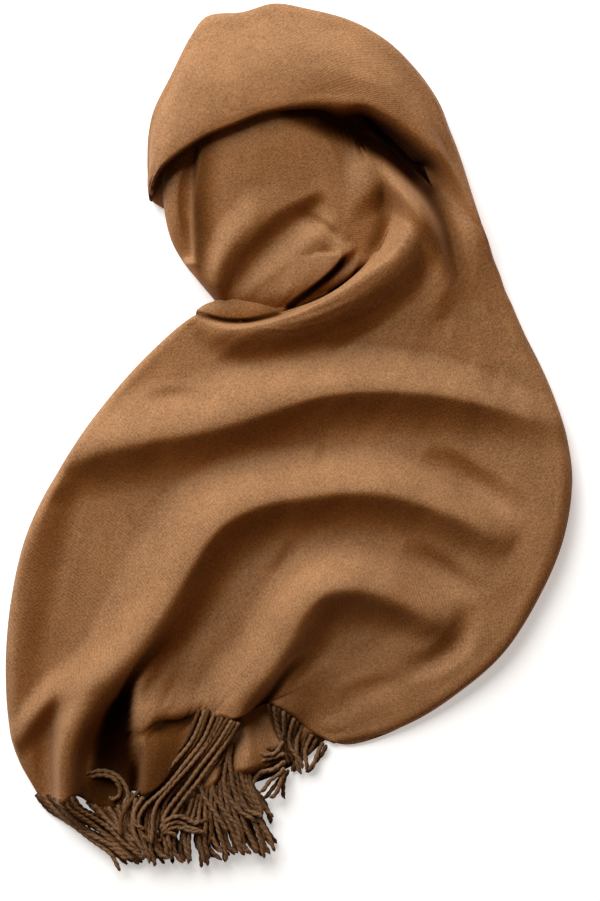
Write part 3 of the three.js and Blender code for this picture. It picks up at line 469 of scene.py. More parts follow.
def lattice_noise(a, b, seed):
    """Smooth noise from -1 to 1 on a square lattice of unit cells, the same at every run."""
    size = LATTICE_SIZE
    values = np.random.default_rng(seed).uniform(-1, 1, (size, size))
    i, j = np.floor(a).astype(int), np.floor(b).astype(int)
    f, g = smooth(a - i), smooth(b - j)
    corner = [[values[(i + m) % size, (j + n) % size] for n in (0, 1)] for m in (0, 1)]
    near = corner[0][0] * (1 - g) + corner[0][1] * g
    far = corner[1][0] * (1 - g) + corner[1][1] * g
    return near * (1 - f) + far * f


def wrinkled(points, lengthways, crossways, seed, height):
    """Raises soft uneven wrinkles on a grid of points, longer along the scarf than across it.
    Lengthways and crossways are the place on the cloth of each point, in millimetres."""
    sway = BROAD_SWAY[0] * np.sin(crossways / BROAD_SWAY[1])
    broad = lattice_noise(lengthways / BROAD[0] + sway, crossways / BROAD[1], seed)
    sway = FINE_SWAY[0] * np.sin(lengthways / FINE_SWAY[1])
    fine = lattice_noise(lengthways / FINE[0], crossways / FINE[1] + sway, seed + 1)
    return points + normals_of(points) * (height * (broad + FINE_SHARE * fine))[..., None]


def normals_of(points):
    up = np.gradient(points, axis=0)
    over = np.gradient(points, axis=1)
    normal = np.cross(over, up)
    return normal / np.maximum(np.linalg.norm(normal, axis=-1, keepdims=True), 1e-9)


# ---- meshes


def grid_of(point, us, vs):
    u, v = np.meshgrid(us, vs, indexing="ij")
    return point(u, v)


def quads_of(rows, columns):
    at = np.arange(rows * columns).reshape(rows, columns)
    return np.stack([at[:-1, :-1], at[:-1, 1:], at[1:, 1:], at[1:, :-1]], axis=-1).reshape(-1, 4)


def mesh_object(name, points, faces, painted_shade, uvs=None):
    """Object of a mesh in metres, centred as the part is, with the painted shade of its points and,
    if it is cloth, a uv map in decimetres."""
    mesh = bpy.data.meshes.new(name)
    centred = (np.maximum(points, [-np.inf, -np.inf, FLOOR]) - CENTRE) * MM
    mesh.from_pydata(centred.tolist(), [], [list(map(int, face)) for face in faces])
    if uvs is not None:
        layer = mesh.uv_layers.new(name="Cloth")
        corners = np.array([loop.vertex_index for loop in mesh.loops])
        layer.data.foreach_set("uv", (uvs[corners] / 100).astype(np.float32).ravel())
    shade = mesh.attributes.new("Depth", "FLOAT", "POINT")
    shade.data.foreach_set("value", painted_shade.astype(np.float32).ravel())
    mesh.validate()
    mesh.update()
    mesh.polygons.foreach_set("use_smooth", [True] * len(mesh.polygons))
    piece = bpy.data.objects.new(name, mesh)
    bpy.context.scene.collection.objects.link(piece)
    return piece


def lengths_across(points):
    gaps = np.linalg.norm(np.diff(points, axis=1), axis=-1)
    return np.concatenate([np.zeros((len(points), 1)), np.cumsum(gaps, axis=1)], axis=1)


def cloth_uvs(points, column=0):
    """Place on the flat cloth of each point of a grid, in millimetres: across from one of its
    columns, and along from its first row."""
    crossways = lengths_across(points)
    crossways = crossways - crossways[:, column:column + 1]
    gaps = np.linalg.norm(np.diff(points, axis=0), axis=-1).mean(axis=1)
    lengthways = np.concatenate([[0], np.cumsum(gaps)])[:, None]
    return np.stack([crossways, np.broadcast_to(lengthways, crossways.shape)], axis=-1)


def shell(piece):
    """Gives a sheet its thickness, downwards from the face that shows, which stays that much above
    the floor."""
    places = np.empty(3 * len(piece.data.vertices))
    piece.data.vertices.foreach_get("co", places)
    places[2::3] = np.maximum(places[2::3], (WALL + FLOOR) * MM)
    piece.data.vertices.foreach_set("co", places)
    solid = piece.modifiers.new("Thickness", "SOLIDIFY")
    solid.thickness = WALL * MM
    solid.offset = -1
    solid.use_even_offset = False
    return piece


def dressed(piece, material, *nodes):
    """Gives a piece its material and its body, and the nodes of the part that it replaces."""
    piece.data.materials.append(material)
    if nodes:
        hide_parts(*nodes)
    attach(piece, "root")
    return piece


# ---- materials

WAVE_PERIOD = 100 * 2 * math.pi / 10 / math.sqrt(2)    # mm of cloth between bands at a scale of 1
KEY_LIGHT_WAY = (-0.38, 0.73, 0.57)    # the way towards the key light; slopes away from it get a painted warm shade tint, and slopes facing it a painted pale highlight tint
# Tints of the painted shade on slopes away from the key light, and of the painted highlight on slopes
# facing it.
SHADED_SLOPE_TINT = (1, 0.76, 0.30, 1)
LIT_SLOPE_TINT = (1, 1.10, 1.28, 1)
# Colour towards which the painted shade darkens the cloth.
DEEP_SHADE = (0.012, 0.003, 0.001, 1)
SPECULAR = 0.25
SHEEN = 0.12
RIB_WEIGHT = 0.06            # of the ribs, the soft clouds and the nap in the cloth's flecks
CLOUD_WEIGHT = 0.35
NAP_WEIGHT = 0.9
FLECK_RANGE = (0.44, 0.88)   # of the flecks that are darkest and lightest
RIB_RELIEF = 0.3             # height of the ribs, where the nap's is 1


def shader_node(tree, kind, inputs, **settings):
    """A new node with its settings and its inputs, each of them a value or another node's output."""
    node = tree.nodes.new(kind)
    for name, value in settings.items():
        setattr(node, name, value)
    for socket, value in inputs.items():
        if isinstance(value, bpy.types.NodeSocket):
            tree.links.new(value, node.inputs[socket])
        else:
            node.inputs[socket].default_value = value
    return node


def weighted(tree, value, weight, rest=0.0):
    """Output of a node that adds a value times a weight to the rest."""
    inputs = {0: value, 1: weight, 2: rest}
    return shader_node(tree, "ShaderNodeMath", inputs, operation="MULTIPLY_ADD").outputs[0]


def noise(tree, place, scale, detail, roughness):
    inputs = {"Vector": place, "Scale": scale, "Detail": detail, "Roughness": roughness}
    return shader_node(tree, "ShaderNodeTexNoise", inputs).outputs["Fac"]


def mixed(tree, factor, a, b, blend="MIX"):
    """Colour output of a node that mixes two colours."""
    inputs = {"Factor": factor, "A": a, "B": b}
    return shader_node(tree, "ShaderNodeMix", inputs, data_type="RGBA", blend_type=blend).outputs["Result"]


def cloth_material(name, light, dark, rib=2.2):
    """Brushed twill: fine slanting ribs half hidden in a soft nap, on camel brown. Rib is the distance
    between two ribs in millimetres. Light and shade are painted on it: slopes facing the key light are
    tinted pale and those away from it warm, and the painted shade of the points darkens it towards
    near black and takes off its specular and sheen."""
    material = bpy.data.materials.new(name)
    material.use_nodes = True
    tree = material.node_tree
    shader = tree.nodes["Principled BSDF"]
    shader.inputs["Roughness"].default_value = 0.75
    shader.inputs["Sheen Roughness"].default_value = 0.5
    shader.inputs["Sheen Tint"].default_value = (1.0, 0.82, 0.62, 1)

    uv = shader_node(tree, "ShaderNodeUVMap", {}, uv_map="Cloth")
    ribs = shader_node(
        tree, "ShaderNodeTexWave",
        {"Vector": uv.outputs["UV"], "Scale": WAVE_PERIOD / rib, "Distortion": 5.0, "Detail": 2.0,
         "Detail Scale": 4.0},
        wave_type="BANDS", bands_direction="DIAGONAL", wave_profile="SIN").outputs["Fac"]
    place = shader_node(tree, "ShaderNodeTexCoord", {}).outputs["Object"]
    nap = noise(tree, place, 560, 4, 0.65)
    cloud = noise(tree, place, 26, 5, 0.6)

    fleck = weighted(tree, ribs, RIB_WEIGHT)
    fleck = weighted(tree, cloud, CLOUD_WEIGHT, fleck)
    fleck = weighted(tree, nap, NAP_WEIGHT, fleck)
    ramp = shader_node(tree, "ShaderNodeValToRGB", {"Fac": fleck})
    for stop, position, colour in zip(ramp.color_ramp.elements, FLECK_RANGE, (dark, light)):
        stop.position = position
        stop.color = (*colour, 1)

    # Painted light and shade: the base colour is tinted by how far each slope faces the key light.
    normal = shader_node(tree, "ShaderNodeNewGeometry", {}).outputs["Normal"]
    toward_key = shader_node(tree, "ShaderNodeVectorMath", {0: normal, 1: KEY_LIGHT_WAY}, operation="DOT_PRODUCT")
    facing_key = shader_node(
        tree, "ShaderNodeMapRange",
        {"Value": toward_key.outputs["Value"], "From Min": -0.1, "From Max": 0.85},
        interpolation_type="SMOOTHSTEP")
    painted_shade = shader_node(tree, "ShaderNodeAttribute", {}, attribute_name="Depth").outputs["Fac"]
    lit = weighted(tree, painted_shade, -1, facing_key.outputs["Result"])
    painted_light_tint = mixed(tree, lit, SHADED_SLOPE_TINT, LIT_SLOPE_TINT)
    tinted = mixed(tree, 1, ramp.outputs["Color"], painted_light_tint, "MULTIPLY")
    # Painted shade: the colour goes towards near black, and the specular and sheen fade, with the painted
    # shade of the points.
    tree.links.new(mixed(tree, painted_shade, tinted, DEEP_SHADE), shader.inputs["Base Color"])
    for gloss, most in (("Specular IOR Level", SPECULAR), ("Sheen Weight", SHEEN)):
        tree.links.new(weighted(tree, painted_shade, -most, most), shader.inputs[gloss])

    relief = weighted(tree, nap, 1.0, weighted(tree, ribs, RIB_RELIEF))
    bump = shader_node(tree, "ShaderNodeBump", {"Height": relief, "Strength": 1.0, "Distance": 0.0005})
    tree.links.new(bump.outputs["Normal"], shader.inputs["Normal"])
    return material


CLOTH = cloth_material("brushed_twill", light=(0.42, 0.190, 0.069), dark=(0.165, 0.069, 0.021))
YARN = cloth_material("fringe_yarn", light=(0.29, 0.140, 0.055), dark=(0.07, 0.029, 0.009), rib=1.6)

# ---- cloth

FALL_ROWS = 210
FALL_COLUMNS = 160
TAIL_ROWS = 18               # rows of the collar's end, which goes on under the crown
TAIL_END = FALL_END + 1.0
TAIL_DIP = 7.0               # by which it sinks over TAIL_FALL rows
TAIL_FALL = 1.2
CROWN_ROWS = 100
ROLL_STEPS = 8
WRINKLE = 1.1                # height of the small wrinkles where the cloth isn't gathered
WRINKLE_ROWS = 5             # of the crown, over which they come back
LIP_PAINTED_SHADE = 0.8              # painted shade of the crown's inner side, which little light reaches
LIP_PAINTED_SHADE_ROWS = 2           # over which it sets in
LIP_PAINTED_SHADE_FADE = (1.6, 0.15)     # its steepness towards the ridge, and what is taken off it
ROW_LENGTH = 34.0            # mm of cloth between two rows of the fall's table, about
CROWN_ROW_LENGTH = 19.0
CLOTH_WIDTH = 320.0          # of the doubled cloth, for its wrinkles


def across(columns):
    """Places across a stretch: round the inner roll, over its top, and round the outer roll."""
    roll = np.linspace(0, 1, ROLL_STEPS + 1)[1:]
    return np.concatenate([-roll[::-1], np.linspace(0, 1, columns + 1), 1 + roll])


def fall_and_crown():
    """The front fall with the crown that its outer part turns over into, as one sheet. The inner
    part ends as a tail below the crown."""
    name = "scarf_fall_and_crown"
    vs = across(FALL_COLUMNS)
    split = int(np.argmin(np.abs(vs - SLIT)))
    vs[split] = SLIT
    us = np.linspace(0, FALL_END, FALL_ROWS)
    tail_us = np.linspace(FALL_END, TAIL_END, TAIL_ROWS + 1)[1:]
    ws = np.where(vs[split:] <= 1, 2 * (vs[split:] - SLIT) / (1 - SLIT) - 1, vs[split:])
    ss = np.linspace(0, CROWN_END, CROWN_ROWS)

    all_us = np.concatenate([us, tail_us])
    fall = grid_of(fall_point, all_us, vs)
    fall[..., 2] -= TAIL_DIP * smooth((all_us - FALL_END) / TAIL_FALL)[:, None]
    fall_width = lengths_across(fall)[:, -1:]
    fall = wrinkled(fall, ROW_LENGTH * all_us[:, None], CLOTH_WIDTH * vs[None, :], SEEDS[name],
                    WRINKLE * np.minimum(fall_width / CLOTH_WIDTH, 1) ** 2)
    crown = grid_of(crown_point, ss, ws)
    crown_lengths = ROW_LENGTH * FALL_END + CROWN_ROW_LENGTH * ss
    gathered = min(fall_width[FALL_ROWS - 1, 0] / CLOTH_WIDTH, 1) ** 2
    crown = wrinkled(crown, crown_lengths[:, None], CLOTH_WIDTH * vs[None, split:], SEEDS[name],
                     WRINKLE * (gathered + (1 - gathered) * smooth(ss / WRINKLE_ROWS))[:, None])[1:]

    inner = fall[:, :split]
    outer = np.concatenate([fall[:FALL_ROWS, split:], crown])
    rows = len(fall)
    columns = fall.shape[1]
    points = np.concatenate([inner.reshape(-1, 3), outer.reshape(-1, 3)])
    fall_uvs = cloth_uvs(fall, split)
    inner_uvs = fall_uvs[:, :split]
    outer_uvs = cloth_uvs(outer)
    seam = FALL_ROWS - 1
    outer_uvs[FALL_ROWS:, :, 1] += fall_uvs[seam, 0, 1] - outer_uvs[seam, 0, 1]
    outer_uvs[:FALL_ROWS, :, 1] = fall_uvs[:FALL_ROWS, split:, 1]
    uvs = np.concatenate([inner_uvs.reshape(-1, 2), outer_uvs.reshape(-1, 2)])
    left = np.arange(FALL_ROWS) * split + split - 1
    right = rows * split + np.arange(FALL_ROWS) * (columns - split)
    faces = np.concatenate([
        quads_of(rows, split),
        quads_of(len(outer), columns - split) + rows * split,
        np.stack([left[:-1], right[:-1], right[1:], left[1:]], axis=-1),
    ])
    # Painted shade along the fall's lines, and on the crown's inner side under its lip.
    painted_shade = painted_shade_at("fall", points)
    crown_painted_shade = np.maximum(painted_shade_at("fall", crown), LIP_PAINTED_SHADE * smooth(ss[1:, None] / LIP_PAINTED_SHADE_ROWS))
    crown_painted_shade *= smooth(-LIP_PAINTED_SHADE_FADE[0] * ws - LIP_PAINTED_SHADE_FADE[1])
    painted_shade[-crown_painted_shade.size:] = crown_painted_shade.ravel()
    return mesh_object(name, points, faces, painted_shade, uvs)


# Where the loop's outer border meets the inside of the collar: its row, the fall's row and place.
LOOP_MEETS = np.array([
    # row   fall  place
    [0.0,   11.0, 0.00],
    [2.0,   12.9, 0.00],
    [3.0,   13.9, 0.01],
    [4.0,   14.9, 0.02],
    [5.0,   15.8, 0.02],
    [6.0,   16.6, 0.02],
    [7.0,   17.5, 0.02],
    [8.0,   18.4, 0.02],
    [9.0,   19.0, 0.02],
])
MEET_FROM = 0.82             # the part of the loop's width from which it bends to the collar
MEET_TO = 0.90               # from here on it lies on the collar
MEET_PLACE = 0.06            # part of the fall's width that it lies along there
MEET_LIFT = 0.6              # above the collar where it reaches it
MEET_SINK = 3.5              # of these lifts, by which its border ends lower, under the collar
LOW_DROP = 1.2               # of the lower end's border under the collar
JOIN = (0.8, 2.2)            # first row, and number of rows over which the border comes to the collar
LIE = (2.6, 1.6)             # the same for lying on it
LOOP_STEPS = 110
LOOP_ROW_LENGTH = 24.0
LOOP_WIDTH = 170.0
LOOP_WRINKLE = 0.7
CALM = (0.7, 0.12)           # part of its width where the wrinkles begin to fade, and over which


def joined_loop_point(u, v):
    """The loop, whose outer border lies in the valley behind the collar, but for its lower end."""
    point = loop_point(u, v)
    upper = smooth((u - LIE[0]) / LIE[1])
    lying = np.clip((v - MEET_TO) / (1 - MEET_TO), 0, 1)
    target = fall_point(along(LOOP_MEETS, 1, u), along(LOOP_MEETS, 2, u) + MEET_PLACE * lying * upper)
    target[..., 2] += MEET_LIFT * (1 - MEET_SINK * lying) * upper - LOW_DROP * (1 - upper)
    reached = MEET_TO + (1 - MEET_TO) * (1 - upper)
    edge = loop_point(u, np.ones_like(u))
    share = smooth((v - MEET_FROM) / (reached - MEET_FROM)) * smooth((u - JOIN[0]) / JOIN[1])
    share = share[..., None]
    slid = point + share * (target - edge)
    laid = point * (1 - share) + target * share
    keep = np.where(v > 1, 1, upper * smooth((v - MEET_FROM) / (MEET_TO - MEET_FROM)))[..., None]
    return slid * (1 - keep) + laid * keep


def wrinkled_sheet(name, points, lengthways, crossways, height, painted_shades):
    """Object of a grid of points of cloth, with its wrinkles and its painted shade."""
    points = wrinkled(points, lengthways, crossways, SEEDS[name], height)
    return mesh_object(name, points.reshape(-1, 3), quads_of(*points.shape[:2]),
                       painted_shade_at(painted_shades, points), cloth_uvs(points).reshape(-1, 2))


def inner_loop():
    """The loop, with no wrinkles where it comes near the collar."""
    us = np.linspace(0, LOOP_END, LOOP_STEPS)
    vs = across(LOOP_STEPS)
    height = LOOP_WRINKLE * (1 - smooth((vs - CALM[0]) / CALM[1]))[None, :]
    return wrinkled_sheet("scarf_inner_loop", grid_of(joined_loop_point, us, vs),
                          LOOP_ROW_LENGTH * us[:, None], LOOP_WIDTH * vs[None, :], height, "loop")


# Sections of narrow plies, of which only an edge shows: points of their front and of their back.
TUCK_PLY = np.array([
    # front x  y    z   back x   y    z
    [-77.0, 105.0,  9, -76.0, 109.0, 10],
    [-72.0, 100.5, 14, -69.0, 113.0, 17],
    [-62.0,  96.5, 17, -56.0, 117.0, 22],
    [-48.0,  94.5, 18, -40.0, 120.0, 23],
    [-30.0,  96.0, 18, -20.0, 120.0, 22],
    [-10.0, 100.0, 18,   0.0, 122.0, 20],
    [ 12.0, 108.0, 18,  20.0, 132.0, 18],
    [ 32.0, 120.0, 16,  36.0, 146.0, 16],
])

TIP_PLY = np.array([
    [-116.5, 216.0,  8,  -98.0, 250.0, 20],
    [-117.0, 208.0,  6,  -90.0, 238.0, 24],
    [-115.0, 201.0,  4,  -86.0, 222.0, 26],
    [-109.0, 196.0,  3,  -84.0, 208.0, 24],
    [-101.0, 192.0,  3,  -80.0, 200.0, 20],
    [ -94.0, 189.0,  3,  -76.0, 194.0, 16],
])

BORDER_PLY = np.array([
    [ 28.0, -249.0,  2,   24.0, -226.0,  5],
    [ 50.0, -253.0,  3,   42.0, -224.0,  6],
    [ 75.0, -246.5,  4,   62.0, -220.0,  7],
    [100.0, -235.0,  4,   84.0, -212.0,  7],
    [119.0, -222.0,  4,  106.0, -200.0,  7],
    [129.0, -205.0,  3,  122.0, -186.0,  6],
])

PLY_BULGE = 2.5
PLY_ROWS = 24                # of points, from its front to its back
PLY_COLUMNS = 12             # of points, for each of its sections
PLY_WIDTH = 26.0             # mm of cloth from its front to its back, for its wrinkles
PLY_SECTION = 18.0           # mm of cloth between two sections
PLY_WRINKLE = 0.5


def ply_between(name, table):
    """A ply that bulges a little between its front edge and its back."""
    t = np.linspace(0, len(table) - 1, PLY_COLUMNS * len(table))[None, :]
    f = np.linspace(0, 1, PLY_ROWS)[:, None]
    front = np.stack([along(table, c, t) for c in (0, 1, 2)], axis=-1)
    back = np.stack([along(table, c, t) for c in (3, 4, 5)], axis=-1)
    points = front + (back - front) * f[..., None]
    points[..., 2] += PLY_BULGE * np.sin(np.pi * f)
    return wrinkled_sheet(name, points, PLY_WIDTH * f, PLY_SECTION * t, PLY_WRINKLE, "loop")


# Sections of the lower ply that shows beside the hem, from left to right: its edge in plan, the
# height of the edge, and the height of the cloth behind it.
LOWER_PLY = np.array([
    # x     y    edge behind
    [-128, -290,  2,  4],
    [-120, -301,  2,  4],
    [-107, -306,  3,  5],
    [ -92, -307,  4,  8],
    [ -77, -304,  5, 14],
    [ -64, -298,  5, 19],
    [ -56, -289,  4, 14],
    [ -51, -284,  4, 11],
    [ -42, -287,  4, 19],
    [ -30, -285,  4, 22],
    [ -18, -281,  4, 14],
    [  -6, -275,  3,  6],
    [   4, -270,  3,  5],
    [  13, -265,  3,  5],
    [  23, -256,  3,  5],
    [  32, -247,  2,  4],
    [  40, -236,  2,  4],
])
LOWER_REACH = 80.0           # mm of cloth from the edge to the back, for its wrinkles
LOWER_HEART = (-40, -176)    # plan point towards which it runs, by LOWER_SHARE of the way
LOWER_SHARE = 0.8
LOWER_DIP = 12.0
LOWER_ROWS = 60
LOWER_COLUMNS = 150
LOWER_SECTION = 14.0         # mm of cloth between two sections, for its wrinkles
LOWER_WRINKLE = 0.8


def lower_ply():
    """The end of the lower ply: it rises from its edge and dips out of sight at its back."""
    t = np.linspace(0, len(LOWER_PLY) - 1, LOWER_COLUMNS)[None, :]
    f = np.linspace(0, 1, LOWER_ROWS)[:, None]
    x, y, edge, behind = (along(LOWER_PLY, c, t) for c in range(4))
    points = np.stack([
        x + (LOWER_HEART[0] - x) * f * LOWER_SHARE,
        y + (LOWER_HEART[1] - y) * f * LOWER_SHARE,
        edge + (behind - edge) * smooth(f * 5) - LOWER_DIP * smooth(2.5 * f - 0.6),
    ], axis=-1)
    return wrinkled_sheet("scarf_lower_ply", points, LOWER_REACH * f, LOWER_SECTION * t, LOWER_WRINKLE,
                          "lower")


LAYER_INSET = 9.0            # of the hidden plies' edge from the rolls of the outer cloth
LAYER_PLY = 2.6              # thickness of a hidden ply
LAYER_STEP = 2.5             # by which the upper one is smaller all round
LAYER_WAVE = 1.5             # of their edges
LAYER_POINTS = 240
WAVE_POINTS = 6              # of an edge, to each cell of the noise that makes it uneven
TURN_STEPS = 7
TOP_RISE = 1.0               # of the middle over the upper ply's edge
TOP_RINGS = (0.9, 0.7, 0.4, 0.05)    # of points between its edge, at 1, and its heart, at 0

# Rows of the tables between which the outlines of the hidden plies follow the outer cloth.
DRAPE_OUTER_ROWS = (2.4, 15)
DRAPE_INNER_ROWS = (11, 2.6)
CROWN_OUTER_ROWS = (1, 12)
LOOP_INNER_ROWS = (7.4, 1)
COLLAR_ROWS = (11.5, 15)
COLLAR_PLACE = 0.3           # of the fall's width


def inside_border(plan, table, u, side):
    """Plan points just inside a rolled border of a stretch; side 0 is inner and 1 outer."""
    ax, ay = plan(u, np.zeros_like(u))
    bx, by = plan(u, np.ones_like(u))
    inset = (along(table, 9 + side, u) + LAYER_INSET) / np.hypot(bx - ax, by - ay)
    return np.stack(plan(u, inset if side == 0 else 1 - inset), axis=-1)


def hidden_plies(name, outline, heart):
    """Two folded plies on each other, with round uneven edges, under the outer cloth. Their middle,
    which little light reaches, is painted in deep shade."""
    closed = np.concatenate([outline, outline[:1]])
    edge = curve_through(closed, LAYER_POINTS + 1)[:-1]
    outward = edge - heart
    outward /= np.linalg.norm(outward, axis=1, keepdims=True)
    place = np.arange(LAYER_POINTS) / WAVE_POINTS
    rings = []
    for ply in (0, 1):
        wave = LAYER_WAVE * lattice_noise(place, np.full_like(place, 0.5), SEEDS[name] + ply)
        for turn in np.linspace(0, np.pi, TURN_STEPS):
            reach = (LAYER_PLY / 2) * (np.sin(turn) - 1) - LAYER_STEP * ply + wave
            height = LAYER_PLY * (ply + (1 - np.cos(turn)) / 2) + FLOOR
            rings.append(np.column_stack([edge + outward * reach[:, None], np.full(LAYER_POINTS, height)]))
    top = rings[-1][:, :2]
    height = np.full(LAYER_POINTS, 2 * LAYER_PLY + TOP_RISE)
    for fraction in TOP_RINGS:
        rings.append(np.column_stack([heart + (top - heart) * fraction, height]))
    points = np.concatenate(rings)
    at = np.arange(len(points)).reshape(-1, LAYER_POINTS)
    after = np.roll(at, -1, axis=1)
    sides = np.stack([at[:-1], after[:-1], after[1:], at[1:]], axis=-1).reshape(-1, 4).tolist()
    faces = sides + [at[-1].tolist(), at[0][::-1].tolist()]
    # Painted deep shade on the rings of the middle.
    painted_shade = np.repeat(np.arange(len(rings)) >= 2 * TURN_STEPS, LAYER_POINTS).astype(float)
    return mesh_object(name, points, faces, painted_shade, points[:, :2])


def drape_outline():
    """Plan of the plies under the drape: inside its two borders, and straight under the hem."""
    outer = inside_border(fall_plan, FALL, np.linspace(*DRAPE_OUTER_ROWS, 14), 1)
    inner = inside_border(fall_plan, FALL, np.linspace(*DRAPE_INNER_ROWS, 11), 0)
    share = np.linspace(0, 1, 10)[1:-1, None]
    return np.concatenate([outer, inner, inner[-1] + (outer[0] - inner[-1]) * share])


def crown_outline():
    """Plan of the plies under the crown, the loop and the collar."""
    s = np.linspace(*CROWN_OUTER_ROWS, 14)
    rx, ry, ox, oy, ro = (along(CROWN, c, s) for c in (0, 1, 2, 3, 7))
    f = (ro + LAYER_INSET) / np.hypot(ox - rx, oy - ry)
    crown = np.stack([ox + (rx - ox) * f, oy + (ry - oy) * f], axis=-1)
    loop = inside_border(loop_plan, LOOP, np.linspace(*LOOP_INNER_ROWS, 6), 0)
    collar = np.stack(fall_plan(np.linspace(*COLLAR_ROWS, 4), np.full(4, COLLAR_PLACE)), axis=-1)
    return np.concatenate([crown, loop, collar])


# ---- fringe

PLY_RADIUS = 1.50            # of each of the two plies twisted into a strand
PLY_OFFSET = 0.5
TWIST_PITCH = 12.0
PLY_SIDES = 6
STEP = 2.0                   # between two rings of a ply
STRAND_ROOM = PLY_RADIUS + PLY_OFFSET
LAYER_GAP = 3.8              # between two layers of strands
UNDER_SHADE = 0.95           # painted shade of the strands that lie lowest
CURVE_STEPS = 60
GUIDE_POINTS = 40
STRAY = 0.3                  # of the space between two strands, by which a root may be off
BEND = 8.0                   # most by which a strand bends away from its guide up to its tip
SWAY = 2.2                   # of its waves, which grow towards the tip
HOOK = 6.0                   # most by which it turns aside in its last stretch
HOOK_FROM = 0.75             # part of its length at which that stretch begins
ROOT_FALL = 2.2              # it comes down to its layer in 1 / ROOT_FALL of its length
BOBS = 8.0                   # radians of its small rises and dips
SHORTEST = 0.86              # part of the guide that the shortest strands follow
ROUND_END = 3.0              # length over which a ply closes at its tip
STRAND_TURN = 1.7            # from each strand's twist to the next one's

# Groups of strands: their number, the height of the lowest of their layers, and guides in plan, x and
# y in turn, from the roots on. Strands between two guides mix them.
FRINGE = {
    "fringe_left": dict(count=16, rest=2.8, layers=3, on_hem=True, guides=[
        [-211, -294, -200, -307, -181, -319, -163, -330, -145, -336, -137, -345, -128, -356],
        [-202, -294, -194, -304, -181, -316, -164, -327, -146, -337, -132, -350, -128, -357],
        [-194, -295, -186, -309, -171, -321, -153, -331, -137, -341, -123, -350],
        [-187, -294, -182, -303, -171, -316, -156, -326, -141, -335, -129, -345, -118, -354],
        [-182, -293, -178, -303, -166, -312, -152, -322, -140, -332, -128, -344, -114, -351],
        [-177, -292, -171, -303, -159, -312, -145, -322, -137, -333, -127, -342, -112, -348],
    ]),
    "fringe_hollow": dict(count=15, rest=2.8, layers=3, on_hem=True, guides=[
        [-169, -299, -159, -309, -148, -317, -137, -329, -127, -340, -115, -350],
        [-156, -305, -148, -314, -140, -326, -128, -335, -114, -347],
        [-145, -304, -140, -314, -135, -327, -123, -337, -108, -348],
        [-137, -299, -136, -311, -132, -324, -120, -335, -104, -345],
        [-130, -291, -132, -304, -128, -317, -118, -329, -105, -335],
    ]),
    "fringe_loop": dict(count=2, rest=9, layers=1, on_hem=False, guides=[
        [-171, -276, -157, -273, -144, -276, -136, -286, -135, -299, -137, -312, -135, -326,
         -128, -337],
        [-166, -279, -155, -277, -145, -280, -139, -289, -139, -297, -146, -303, -155, -302],
    ]),
    "fringe_middle": dict(count=10, rest=15, layers=2, on_hem=True, guides=[
        [-74, -222, -85, -247, -101, -268, -115, -285, -126, -297, -134, -309, -137, -321,
         -132, -332, -123, -345],
        [-66, -222, -76, -247, -92, -268, -107, -285, -119, -297, -124, -308, -121, -317, -107, -321],
        [-59, -224, -69, -248, -86, -268, -101, -286, -114, -299, -120, -309, -122, -321, -114, -334,
         -109, -345],
        [-51, -227, -63, -248, -79, -270, -96, -288, -105, -301, -107, -311, -104, -322, -105, -340,
         -105, -359],
        [-46, -230, -58, -249, -73, -268, -87, -288, -99, -304, -103, -316, -94, -322, -81, -326],
        [-40, -232, -51, -250, -63, -266, -73, -280, -81, -291, -89, -304, -96, -319, -99, -335,
         -100, -350],
    ]),
    "fringe_down": dict(count=9, rest=13, layers=2, on_hem=False, guides=[
        [-55, -250, -61, -259, -69, -266, -75, -275, -76, -286, -73, -298, -66, -311, -61, -326,
         -59, -342],
        [-50, -247, -51, -260, -55, -273, -56, -286, -51, -298, -43, -309, -30, -319, -18, -328],
        [-46, -250, -48, -263, -43, -278, -37, -292, -30, -303, -16, -311],
    ]),
    "fringe_right": dict(count=13, rest=3, layers=2, on_hem=True, guides=[
        [-17, -217, -14, -230, -11, -245, -4, -259, 2, -271],
        [-7, -221, -5, -235, -3, -250, 2, -263, 5, -273],
        [3, -228, 0, -239, 0, -253, 5, -265, 8, -276],
        [13, -237, 9, -249, 9, -260, 9, -270, 8, -281],
        [22, -247, 17, -257, 13, -266, 11, -277],
        [32, -253, 27, -264, 21, -272, 13, -278],
    ]),
    "fringe_sideways": dict(count=11, rest=9, layers=2, on_hem=False, guides=[
        [-5, -241, -7, -252, -17, -257, -28, -257, -38, -262],
        [-4, -255, -14, -261, -25, -262, -38, -268],
        [-3, -262, -14, -267, -27, -271, -38, -280],
        [-3, -268, -13, -275, -25, -281, -35, -288],
        [-4, -273, -9, -283, -15, -292, -22, -301],
        [0, -273, -5, -283, -9, -293, -11, -299],
    ]),
    "fringe_curl": dict(count=6, rest=15, layers=2, on_hem=False, guides=[
        [-106, -319, -101, -312, -92, -309, -83, -313, -76, -315, -70, -311],
        [-103, -324, -96, -319, -88, -319, -81, -323, -74, -322, -68, -326],
    ]),
    "fringe_lower": dict(count=84, rest=2.8, layers=4, on_hem=False, guides=[
        [-132, -293, -132, -312, -127, -329, -117, -342, -112, -348],
        [-118, -299, -120, -319, -115, -335, -105, -347, -104, -353],
        [-105, -304, -107, -324, -104, -340, -96, -348],
        [-91, -299, -96, -321, -96, -339, -92, -355],
        [-76, -294, -82, -317, -86, -337, -82, -353],
        [-68, -286, -71, -312, -71, -334, -61, -355],
        [-61, -286, -61, -311, -56, -332, -46, -350],
        [-55, -278, -51, -304, -43, -327, -32, -348],
        [-48, -273, -43, -299, -32, -322, -17, -352],
        [-41, -270, -35, -294, -25, -316, -10, -347],
        [-35, -262, -30, -283, -22, -299, -17, -319],
    ]),
}


